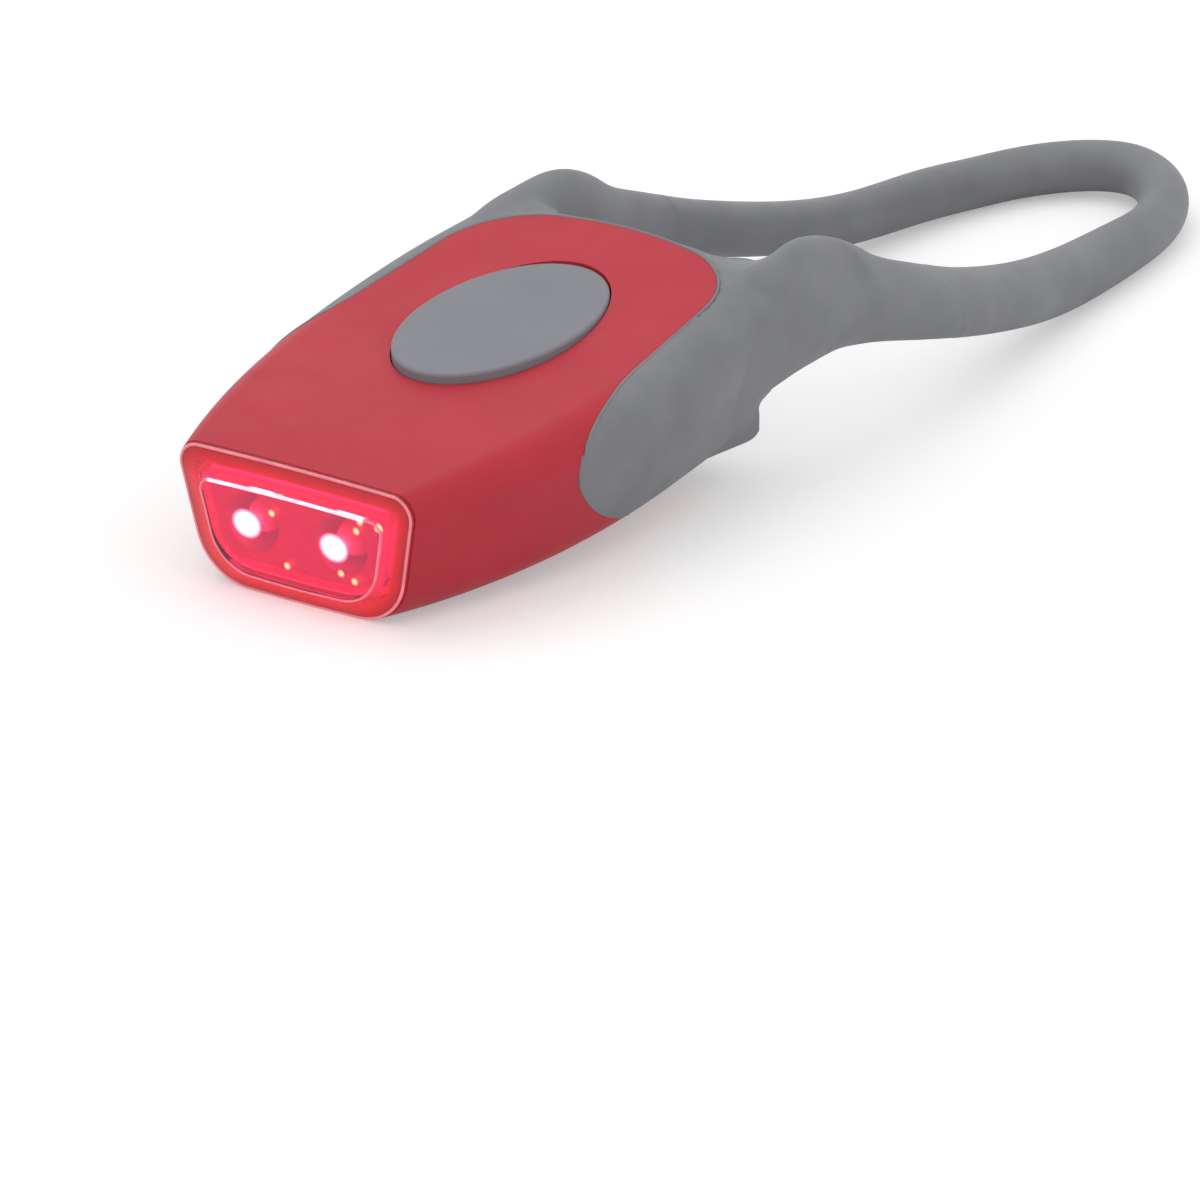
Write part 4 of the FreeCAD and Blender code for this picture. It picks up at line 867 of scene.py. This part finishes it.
@dataclass
class Lens:
    """The clear red lens: a rim flush with the moulding, a bevelled border and a raised panel.

    It is hollow behind. Stations count back from the moulding's front, so proud ones are negative.
    """

    half_top: float = 11.75
    half_bottom: float = 9.35
    height: float = 11.5
    crown: float = 0.15
    belly: float = 0.15
    rim_radii: Pair = (1.8, 4.8)
    panel_radii: Pair = (1.0, 3.9)
    panel_inset: tuple[float, float, float] = (2.1, 2.3, 1.6)
    proud: float = 0.6
    panel_proud: float = 0.3
    inner_face: float = -0.15
    spigot_inset: float = 1.56
    spigot_rear: float = 2.25
    rim_rear: float = 0.35
    spigot_wall: float = 0.5
    inner_round: float = 0.1
    radius_loss: float = 0.5
    least_radius: float = 0.5
    front_fill: Row = (0.75, 0.45, 0.15)
    back_fill: Row = (0.15, 0.6, 0.9)
    corner_steps: int = 10
    edge_steps: int = 12
    crisp_angle: float = 55.0
    line_radius: float = 0.12
    fine_share: float = 0.75
    line_station: float = -0.02
    # Left end, right end and radius of the painted highlight along the panel's top edge.
    painted_highlight_reach: tuple[float, float, float] = (-8.1, 7.7, 0.15)
    # Across and up on the panel's inner face: the painted discs of the sources, then the painted glints.
    sources: tuple[Pair, ...] = ((-4.75, 5.9), (3.75, 5.8))
    glints: tuple[Pair, ...] = (
        (-2.2, 7.4), (6.5, 8.7), (8.2, 8.5), (6.1, 7.8), (5.6, 3.3), (4.3, 3.7), (-1.0, 3.1)
    )

    def seen(self, resting: Resting, spots: tuple[Pair, ...]) -> tuple[Vector, ...]:
        """Places across and up on the panel's inner face, in the row frame."""
        return tuple(resting.place(across, self.inner_face, up) for across, up in spots)

    def corner(self, at: Vector, first: Vector, second: Vector, radius: float) -> list[Vector]:
        """Points of the arc that rounds a corner.

        Args:
            at: The corner.
            first: The unit direction towards the arc's start.
            second: The unit direction towards its end.
            radius: The arc's radius.

        Returns:
            The points, start and end included.
        """
        half = math.acos(max(-1.0, min(1.0, first.dot(second)))) / 2
        centre = at + (first + second).normalized() * (radius / math.sin(half))
        start = at + first * (radius / math.tan(half)) - centre
        sweep = math.pi - 2 * half
        return [
            centre + Matrix.Rotation(-sweep * i / self.corner_steps, 2) @ start
            for i in range(self.corner_steps + 1)
        ]

    def ring(self, inset: Row, radii: Pair) -> list[Vector]:
        """A closed outline drawn in from the rim, as points across and up.

        Args:
            inset: How far it is drawn in at the sides, the top and the bottom.
            radii: Its radii at the top and the bottom corners.

        Returns:
            The points, clockwise from the middle of the top.
        """
        side, top, bottom = inset
        lean = (self.half_top - self.half_bottom) / self.height
        shift = side * math.sqrt(1 + lean * lean)
        high = Vector((self.half_top - lean * top - shift, self.height - top))
        low = Vector((self.half_bottom + lean * bottom - shift, bottom))
        down = (low - high).normalized()
        rise = 2 * math.atan(self.crown / high.x)
        sink = 2 * math.atan(self.belly / low.x)
        upper = self.corner(high, Vector((-math.cos(rise), math.sin(rise))), down, radii[0])
        lower = self.corner(low, -down, Vector((-math.cos(sink), -math.sin(sink))), radii[1])
        steps = self.edge_steps

        def arc(end: Vector, sag: float, share: float) -> Vector:
            """A point of the bowed edge that ends at end."""
            return Vector((end.x * share, end.y + sag * (1 - share * share)))

        crown = [arc(upper[0], upper[0].x * math.tan(rise / 2), i / steps) for i in range(steps)]
        flank = [upper[-1].lerp(lower[0], i / steps) for i in range(1, steps)]
        hang = -lower[-1].x * math.tan(sink / 2)
        belly = [arc(lower[-1], hang, 1 - i / steps) for i in range(1, steps + 1)]
        right = [*crown, *upper, *flank, *lower, *belly]
        left = [Vector((-point.x, point.y)) for point in reversed(right[1:-1])]
        return right + left

    def rows(self) -> tuple[list[Row], list[Row]]:
        """The lens's profile from the back of the spigot to the panel, and back inside.

        Returns:
            Rows of station, share of the way from the rim to the panel and extra inset. Those outside also
            have the share of painted glow on the border.
        """
        low, step = self.proud, self.panel_proud
        outer = [
            (self.spigot_rear, 0.0, self.spigot_inset, 0.0),
            (self.rim_rear, 0.0, self.spigot_inset, 0.0),
            (self.rim_rear, 0.0, 0.02, 0.0),
            (0.10, 0.0, 0.0, 0.0),
            (0.02, 0.0, 0.03, 0.0),
            (-0.03, 0.0, 0.12, 0.05),
            (-0.10, 0.15, 0.0, 0.2),
            (-0.61 * low, 0.62, 0.0, 0.9),
            (-0.84 * low, 0.86, 0.0, 1.0),
            (-0.89 * low, 0.93, 0.0, 0.9),
            (-0.91 * low, 0.97, 0.0, 0.7),
            (-low, 1.0, 0.0, 0.4),
            (-low - 0.5 * step, 1.0, 0.04, 0.1),
            (-low - 0.8 * step, 1.0, 0.09, 0.0),
            (-low - 0.95 * step, 1.0, 0.18, 0.0),
            (-low - step, 1.0, 0.32, 0.0),
        ]
        hollow = self.spigot_inset + self.spigot_wall
        inner = [
            (self.inner_face, 0.0, hollow + self.inner_round),
            (self.inner_face + self.inner_round, 0.0, hollow),
            (self.spigot_rear, 0.0, hollow),
        ]
        return outer, inner

    def skin(self, row: Row, resting: Resting) -> list[Vector]:
        """One ring of the lens in the row frame.

        Args:
            row: Its station, its share of the way from the rim to the panel, and its extra inset.
            resting: The lamp's place.

        Returns:
            The ring's points.
        """
        station, share, extra = row[:3]
        inset = tuple(share * full + extra for full in self.panel_inset)
        radii = tuple(
            max(rim + share * (panel - rim) - extra * self.radius_loss, self.least_radius)
            for rim, panel in zip(self.rim_radii, self.panel_radii)
        )
        return [resting.place(point.x, station, point.y) for point in self.ring(inset, radii)]

    def build(self, resting: Resting, palette: Palette) -> None:
        """Makes the lens, marks where its painted glow goes, and adds its lines of painted light.

        Args:
            resting: The lamp's place.
            palette: The finishes.
        """
        outer, inner = self.rows()
        rings = [self.skin(row, resting) for row in outer]
        rings += drawn_in(rings[-1], self.front_fill)
        gap = len(rings)
        rings += drawn_in(self.skin(inner[0], resting), self.back_fill)
        rings += [self.skin(row, resting) for row in inner]
        lens = new_piece("clear_lens", [point for ring in rings for point in ring], lofted(rings, gap))
        # Shares of painted glow: on the border from the profile's rows, and all of it on the panel's inner
        # face.
        border = [row[3] for row in outer] + [0.0] * (len(rings) - len(outer))
        panel = [0.0] * gap + [1.0] * (len(rings) - gap)
        for name, values in ((BORDER_GLOW_MASK, border), (PANEL_GLOW_MASK, panel)):
            glow = lens.data.attributes.new(name, "FLOAT", "POINT")
            glow.data.foreach_set("value", [value for value in values for _ in rings[0]])
        outward(lens)
        lens.data.shade_smooth()
        lens.data.set_sharp_from_angle(angle=math.radians(self.crisp_angle))
        palette.dress(lens, Slot.LENS)
        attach(lens, Body.LAMP.value)
        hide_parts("lens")
        report(lens)
        self.painted_light_lines(resting, palette)

    def painted_light_lines(self, resting: Resting, palette: Palette) -> None:
        """Makes the beads of painted glow round the rim and the panel, and the painted highlight over the
        panel's top edge.

        Args:
            resting: The lamp's place.
            palette: The finishes.
        """
        fine = self.line_radius * self.fine_share
        left, right, wide = self.painted_highlight_reach
        rim = self.skin((self.line_station, 0.0, self.line_radius), resting)
        panel = self.skin((-self.proud - self.panel_proud, 1.0, fine), resting)
        top = self.height - self.panel_inset[1] - wide * 2
        places = [(resting.back(point), point) for point in panel]
        above = [(place.x, point) for place, point in places if left < place.x < right and place.z > top]
        bright = [point for _, point in sorted(above, key=lambda pair: pair[0])]
        lines = (
            ("lens_rim_line", rim, closed_path(len(rim)), self.line_radius, palette.painted_glow_line),
            ("panel_edge_line", panel, closed_path(len(panel)), fine, palette.painted_glow_line),
            ("panel_edge_painted_highlight", bright, closed_path(len(bright))[:-1], wide, palette.painted_highlight_line),
        )
        for name, path, edges, radius, finish in lines:
            line = bead(name, path, edges, radius, finish)
            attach(line, Body.LAMP.value)
            report(line)


@dataclass
class LightUnit:
    """The reflector and the two light sources behind the lens."""

    half: float = 4.3
    front: float = 0.5
    height: float = 6.0

    def domes(self, resting: Resting) -> tuple[Vector, ...]:
        """The tips of the two light sources in the row frame."""
        return tuple(resting.place(side * self.half, self.front, self.height) for side in (-1, 1))

    def build(self, nodes: dict, palette: Palette) -> None:
        """Dresses the reflector and the sources.

        Args:
            nodes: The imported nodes.
            palette: The finishes.
        """
        rows = (
            ("reflector", "reflector_tray", Slot.REFLECTOR),
            ("led_left", "light_dome_left", Slot.SOURCE),
            ("led_right", "light_dome_right", Slot.SOURCE),
        )
        dress_copies(nodes, palette, Body.LAMP, rows)


@dataclass
class PushButton:
    """The oval button in the lamp's top."""

    def build(self, nodes: dict, palette: Palette) -> None:
        """Dresses the button.

        Args:
            nodes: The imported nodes.
            palette: The finishes.
        """
        dress_copies(nodes, palette, Body.BUTTON, (("button", "button_cap", Slot.BUTTON),))


@dataclass
class SiliconeSleeve:
    """The sleeve, its two arms and the strap's loop as one soft moulding.

    The sleeve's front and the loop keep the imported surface. The length between them, from one of the ends
    to the other, is made anew as an even skin, so that its creases can be filled to soft roots. Ends, cuts,
    root and wall_span are stations along the lamp. A valley is its place across, along and up, its reach
    and its depth.
    """

    voxel: float = 0.215
    ends: Pair = (35.6, 65.6)
    margin: float = 1.0
    cuts: Pair = (56.2, 63.0)
    cut_slack: float = 0.004
    bend_heights: Pair = (6.0, 3.0)
    seam_distance: float = 0.03
    root: Span = (36.4, 39.4, 53.0, 57.0)
    clear_of_shell: Pair = (0.25, 1.3)
    root_rounds: int = 240
    hollowing: float = 0.15
    even_rounds: int = 10
    valley: Row = (9.2, 46.7, 13.5, 2.6, 1.2)
    valley_facing: Pair = (-0.3, 0.3)
    wall_span: Span = (36.0, 39.0, 54.5, 57.2)
    wall_heights: Span = (1.6, 2.8, 10.2, 11.4)
    wall_scale: Pair = (10.0, 5.0)
    wall_facing: Pair = (0.55, 0.85)
    wall_inner: float = 12.0
    wall_degree: int = 4
    fitted_share: float = 0.02
    rim_radius: float = 0.13
    rim_angle: float = 25.0
    rim_gap: float = 0.3
    rim_sink: float = 0.06
    rim_least: float = 4.0
    probe_lift: float = 0.01
    crisp_angle: float = 32.0

    def open_seams(self, nodes: list[bpy.types.Object], resting: Resting) -> bpy.types.Object:
        """Joins the solids into one skin without the faces where they meet.

        Args:
            nodes: The sleeve's nodes.
            resting: The lamp's place.

        Returns:
            The joined skin.
        """
        points, faces = joined_points(nodes)
        stations = [resting.back(point).y for point in points]

        def at_cut(face: tuple[int, ...]) -> bool:
            """Whether all of a face lies in one of the cuts."""
            return any(all(abs(stations[i] - cut) < self.cut_slack for i in face) for cut in self.cuts)

        skin = new_piece("silicone_skin", points, [face for face in faces if not at_cut(face)])
        joined = bmesh.new()
        joined.from_mesh(skin.data)
        edge = [vertex for vertex in joined.verts if vertex.is_boundary]
        bmesh.ops.remove_doubles(joined, verts=edge, dist=self.seam_distance * MM)
        joined.to_mesh(skin.data)
        joined.free()
        return skin

    def length(
        self, skin: bpy.types.Object, resting: Resting, name: str, low: float | None, high: float | None
    ) -> bpy.types.Object:
        """A copy of a skin between two stations, closed where it is cut.

        Args:
            skin: The skin.
            resting: The lamp's place.
            name: The copy's name.
            low: Where it starts, or None for the skin's own end.
            high: Where it ends, or None for the skin's own end.

        Returns:
            The copy.
        """
        along = resting.turn @ Vector((0.0, 1.0, 0.0))
        part = bmesh.new()
        part.from_mesh(skin.data)
        for station, normal in ((low, -along), (high, along)):
            if station is None:
                continue
            cut = bmesh.ops.bisect_plane(
                part,
                geom=[*part.verts, *part.edges, *part.faces],
                dist=JOIN_DISTANCE,
                plane_co=resting.place(0.0, station, 0.0),
                plane_no=normal,
                clear_outer=True,
            )
            rim = [item for item in cut["geom_cut"] if isinstance(item, bmesh.types.BMEdge)]
            bmesh.ops.triangle_fill(part, use_beauty=True, use_dissolve=False, edges=rim, normal=normal)
        bmesh.ops.recalc_face_normals(part, faces=part.faces)
        mesh = bpy.data.meshes.new(name)
        part.to_mesh(mesh)
        part.free()
        return linked(name, mesh)

    def soften(self, skin: bpy.types.Object, shell: BVHTree, resting: Resting) -> None:
        """Fills the creases at the arms' roots and evens the skin, clear of the red moulding.

        Args:
            skin: The skin.
            shell: The red moulding's surface.
            resting: The lamp's place.
        """
        distances = [shell.find_nearest(vertex.co)[3] / MM for vertex in skin.data.vertices]
        clear = ramp(numpy.array(distances), *self.clear_of_shell)
        self.sink_valleys(skin, clear, resting)
        before = measured(skin.data)
        normals = measured(skin.data, "normal")
        shares = clear * window(resting.back_all(before)[:, 1], self.root)
        smooth_rounds(skin, "filled_roots", self.root_rounds)
        rise = ((measured(skin.data) - before) * normals).sum(axis=1)
        rise = numpy.where(rise > 0.0, rise, rise * self.hollowing) * shares
        move_points(skin, before + normals * rise[:, None])
        self.even_walls(skin, clear, resting)
        smooth_rounds(skin, "even_skin", self.even_rounds)

    def sink_valleys(self, skin: bpy.types.Object, clear: numpy.ndarray, resting: Resting) -> None:
        """Lowers the skin behind the deck's rear corners.

        Args:
            skin: The skin.
            clear: How far each of its points may move, by its distance from the red moulding.
            resting: The lamp's place.
        """
        places = resting.back_all(measured(skin.data))
        up = (measured(skin.data, "normal") @ numpy.array(resting.turn))[:, 2]
        across, station, height, reach, depth = self.valley
        for side in (-1.0, 1.0):
            spans = numpy.linalg.norm(places - (side * across, station, height), axis=1)
            fall = numpy.exp(-((spans / reach) ** 2)) * clear * ramp(up, *self.valley_facing)
            places[:, 2] -= depth * fall
        move_points(skin, resting.place_all(places))

    def even_walls(self, skin: bpy.types.Object, clear: numpy.ndarray, resting: Resting) -> None:
        """Draws each arm's outer wall and the sleeve's as one even surface.

        Args:
            skin: The skin.
            clear: How far each of its points may move, by its distance from the red moulding.
            resting: The lamp's place.
        """
        places = resting.back_all(measured(skin.data))
        facing = measured(skin.data, "normal")[:, 0]
        along, up = places[:, 1], places[:, 2]
        share = clear * numpy.minimum(window(along, self.wall_span), window(up, self.wall_heights))
        y = (along - (self.wall_span[0] + self.wall_span[3]) / 2) / self.wall_scale[0]
        z = (up - (self.wall_heights[0] + self.wall_heights[3]) / 2) / self.wall_scale[1]
        powers = range(self.wall_degree + 1)
        terms = numpy.stack([y**i * z**j for i in powers for j in powers[: len(powers) - i]], axis=1)
        for side in (-1.0, 1.0):
            facing_out = facing * side
            outer = (facing_out > self.wall_facing[0]) & (places[:, 0] * side > self.wall_inner)
            fitted = outer & (facing_out > self.wall_facing[1]) & (share > self.fitted_share)
            factors = numpy.linalg.lstsq(terms[fitted], places[fitted, 0], rcond=None)[0]
            moves = (terms @ factors - places[:, 0]) * share * ramp(facing_out, *self.wall_facing)
            places[:, 0] += numpy.where(outer, moves, 0.0)
        move_points(skin, resting.place_all(places))

    def rim_path(self, sleeve: bpy.types.Object, shell: BVHTree) -> tuple[list[Vector], Edges]:
        """The sleeve's outer edge, where it meets the red moulding, drawn a little into the silicone.

        Args:
            sleeve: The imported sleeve.
            shell: The red moulding's surface.

        Returns:
            The path's points and edges.
        """
        points, faces = joined_points([sleeve])
        skin = bmesh.new()
        for point in points:
            skin.verts.new(point)
        skin.verts.ensure_lookup_table()
        for face in faces:
            skin.faces.new([skin.verts[i] for i in face])
        skin.normal_update()
        skin.verts.index_update()
        shifts: dict[int, list[Vector]] = {}
        edges = []
        for edge in skin.edges:
            if len(edge.link_faces) != 2 or edge.calc_face_angle(0.0) < math.radians(self.rim_angle):
                continue
            middle = (edge.verts[0].co + edge.verts[1].co) / 2
            reach = []
            for face in edge.link_faces:
                start = middle.lerp(face.calc_center_median(), 0.5) + face.normal * self.probe_lift * MM
                hit = shell.ray_cast(start, face.normal)[3]
                reach.append(math.inf if hit is None else hit / MM)
            if min(reach) > self.rim_gap or max(reach) < math.inf:
                continue
            wall = edge.link_faces[reach.index(min(reach))].normal
            outer = edge.link_faces[reach.index(max(reach))].normal
            pair = tuple(vertex.index for vertex in edge.verts)
            for index in pair:
                shifts.setdefault(index, []).append((wall + outer) * -self.rim_sink * MM)
            edges.append(pair)
        skin.free()
        edges = self.long_runs(points, edges)
        kept = sorted({index for pair in edges for index in pair})
        order = {index: i for i, index in enumerate(kept)}
        path = [points[index] + sum(shifts[index], Vector()) / len(shifts[index]) for index in kept]
        return path, [(order[a], order[b]) for a, b in edges]

    def long_runs(self, points: list[Vector], edges: Edges) -> Edges:
        """The edges that hang together over a length worth a bead.

        Args:
            points: The points.
            edges: Pairs of their numbers.

        Returns:
            The edges of the long runs.
        """
        meeting: dict[int, list[int]] = {}
        for i, pair in enumerate(edges):
            for index in pair:
                meeting.setdefault(index, []).append(i)
        kept, left = [], set(range(len(edges)))
        while left:
            run, ahead = [], [left.pop()]
            while ahead:
                here = ahead.pop()
                run.append(here)
                near = {i for index in edges[here] for i in meeting[index]} & left
                left -= near
                ahead += sorted(near)
            length = sum((points[edges[i][0]] - points[edges[i][1]]).length for i in run)
            if length > self.rim_least * MM:
                kept += run
        return [edges[i] for i in sorted(kept)]

    def build(self, nodes: dict, resting: Resting, palette: Palette) -> None:
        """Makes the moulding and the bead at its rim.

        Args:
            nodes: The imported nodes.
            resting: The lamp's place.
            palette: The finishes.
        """
        names = ("silicone_sleeve", "strap_flex", "strap_loop")
        red_points, red_faces = joined_points([nodes["top_shell"]])
        shell = BVHTree.FromPolygons(red_points, red_faces)
        packed = self.open_seams([nodes[name] for name in names], resting)
        low, high = self.ends
        rough = self.length(packed, resting, "rough_roots", low - self.margin, high + self.margin)
        remesh = rough.modifiers.new("one_skin", "REMESH")
        remesh.mode = "VOXEL"
        remesh.voxel_size = self.voxel * MM
        settle(rough)
        self.soften(rough, shell, resting)
        lengths = [
            self.length(packed, resting, "sleeve_front", None, low),
            self.length(rough, resting, "arm_roots", low, high),
            self.length(packed, resting, "loop", high, None),
        ]
        points, faces = [], []
        for part in lengths:
            faces += [tuple(len(points) + i for i in face.vertices) for face in part.data.polygons]
            points += [vertex.co.copy() for vertex in part.data.vertices]
        skin = new_piece("silicone_moulding", points, faces)
        skin.data.shade_smooth()
        skin.data.set_sharp_from_angle(angle=math.radians(self.crisp_angle))
        for spare in (packed, rough, *lengths):
            bpy.data.objects.remove(spare)
        palette.dress(skin, Slot.SILICONE)
        resting.place(0.0, self.cuts[0], self.bend_heights[0])
        resting.place(0.0, self.cuts[1], self.bend_heights[1])
        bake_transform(skin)
        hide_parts(*names)
        report(skin)
        path, edges = self.rim_path(nodes["silicone_sleeve"], shell)
        rim = bead("sleeve_rim", path, edges, self.rim_radius, palette.finishes[Slot.SILICONE])
        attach(rim, Body.SLEEVE.value)
        report(rim)


@dataclass
class Inside:
    """The parts inside the lamp, which keep their shapes and get their finishes."""

    def build(self, nodes: dict, palette: Palette) -> None:
        """Dresses the inner parts.

        Args:
            nodes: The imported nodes.
            palette: The finishes.
        """
        rows = {
            "cover_seal": Slot.RUBBER,
            "circuit_board": Slot.BOARD,
            "board_screws": Slot.STEEL,
            "controller_chip": Slot.BLACK,
            "resistors": Slot.BLACK,
            "switch_body": Slot.BLACK,
            "switch_plunger": Slot.SWITCH,
            "button_seal": Slot.RUBBER,
            "cell_lower": Slot.CELL,
            "cell_upper": Slot.CELL,
            "battery_holder": Slot.BLACK,
            "contact_positive": Slot.BRASS,
            "contact_negative": Slot.BRASS,
        }
        for name, slot in rows.items():
            palette.dress(nodes[name], slot)
        LOG.info("inside: %d parts dressed", len(rows))


@dataclass
class Studio:
    """A pale floor, a white room, a soft lamp and the camera. Lengths are in metres."""

    floor_side: float = 8.0
    floor_colour: Colour = (0.75, 0.75, 0.75)
    floor_lift: float = 0.34
    room_light: float = 0.86
    lamp_place: Row = (-0.25, 0.1, 0.8)
    lamp_side: float = 0.6
    lamp_watts: float = 1.0
    camera_place: Row = (2.38202, -3.22405, 1.55623)
    azimuth: float = 36.595
    elevation: float = 21.429
    roll: float = -0.177
    focal_length: float = 1631.0
    sensor_width: float = 36.0
    far_clip: float = 12.0

    def shown_ray(self, tree: bpy.types.NodeTree) -> bpy.types.NodeSocket:
        """1 for a ray that the eye sees, straight, in a reflection or through the lens.

        Args:
            tree: The tree that the nodes go in.

        Returns:
            The socket with the share.
        """
        path = tree.nodes.new("ShaderNodeLightPath")
        shown = path.outputs["Is Camera Ray"]
        for name in ("Is Glossy Ray", "Is Transmission Ray"):
            highest = tree.nodes.new("ShaderNodeMath")
            highest.operation = "MAXIMUM"
            tree.links.new(shown, highest.inputs[0])
            tree.links.new(path.outputs[name], highest.inputs[1])
            shown = highest.outputs[0]
        return shown

    def room(self) -> None:
        """White where it is seen, plain soft light elsewhere."""
        world = bpy.data.worlds.new("white_room")
        world.use_nodes = True
        tree = world.node_tree
        tree.nodes.clear()
        strength = tree.nodes.new("ShaderNodeMapRange")
        strength.inputs["To Min"].default_value = self.room_light
        strength.inputs["To Max"].default_value = 1.0
        tree.links.new(self.shown_ray(tree), strength.inputs["Value"])
        light = tree.nodes.new("ShaderNodeBackground")
        light.inputs["Color"].default_value = (1.0, 1.0, 1.0, 1.0)
        tree.links.new(strength.outputs[0], light.inputs["Strength"])
        end = tree.nodes.new("ShaderNodeOutputWorld")
        tree.links.new(light.outputs[0], end.inputs["Surface"])
        bpy.context.scene.world = world

    def floor(self) -> None:
        """A matt floor that looks white and keeps the light's shadow."""
        half = self.floor_side / 2
        square = [(-half, -half, 0), (half, -half, 0), (half, half, 0), (-half, half, 0)]
        floor = new_piece("studio_floor", square, [(0, 1, 2, 3)])
        sketch = NodeSketch("pale_floor")
        matt = sketch.add("BsdfDiffuse", {"Color": (*self.floor_colour, 1.0)}).outputs[0]
        lift = {"Value": self.shown_ray(sketch.tree), "To Max": self.floor_lift}
        glow = sketch.add("Emission", {"Strength": sketch.add("MapRange", lift).outputs[0]}).outputs[0]
        floor.data.materials.append(sketch.finish("AddShader", {0: matt, 1: glow}))

    def lamp(self) -> None:
        """A square soft lamp overhead, aimed at the light."""
        data = bpy.data.lights.new("overhead_lamp", "AREA")
        data.size = self.lamp_side
        data.energy = self.lamp_watts
        lamp = linked("overhead_lamp", data)
        lamp.location = self.lamp_place
        lamp.rotation_euler = (-Vector(self.lamp_place)).to_track_quat("-Z", "Y").to_euler()

    def camera(self) -> None:
        """A long lens from the front and the right, a little above."""
        data = bpy.data.cameras.new("product_camera")
        data.lens = self.focal_length
        data.sensor_width = self.sensor_width
        data.clip_end = self.far_clip
        camera = linked("product_camera", data)
        camera.location = self.camera_place
        tilt = Euler((math.radians(90 - self.elevation), 0.0, math.radians(self.azimuth)), "XYZ").to_matrix()
        turn = tilt @ Matrix.Rotation(math.radians(self.roll), 3, "Z")
        camera.rotation_mode = "QUATERNION"
        camera.rotation_quaternion = turn.to_quaternion()
        bpy.context.scene.camera = camera

    def build(self) -> None:
        """Sets up the room, the floor, the lamp and the camera."""
        self.room()
        self.floor()
        self.lamp()
        self.camera()
        bpy.context.scene.view_settings.view_transform = "Standard"
        LOG.info("studio ready")


def main() -> None:
    """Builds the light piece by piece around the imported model."""
    logging.basicConfig(level=logging.INFO, format="%(name)s %(message)s")
    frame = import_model()
    nodes = frame["nodes"]
    resting = Resting.from_joints(frame["joints"])
    unit = LightUnit()
    lens = Lens()
    # Where the painted discs of the sources and the painted glints go on the lens.
    discs, glints = lens.seen(resting, lens.sources), lens.seen(resting, lens.glints)
    palette = Palette(unit.domes(resting), discs, glints)
    Studio().build()
    Inside().build(nodes, palette)
    LampShell().build(nodes, palette)
    lens.build(resting, palette)
    unit.build(nodes, palette)
    PushButton().build(nodes, palette)
    SiliconeSleeve().build(nodes, resting, palette)
    bpy.context.view_layer.update()


if __name__ == "__main__":
    main()
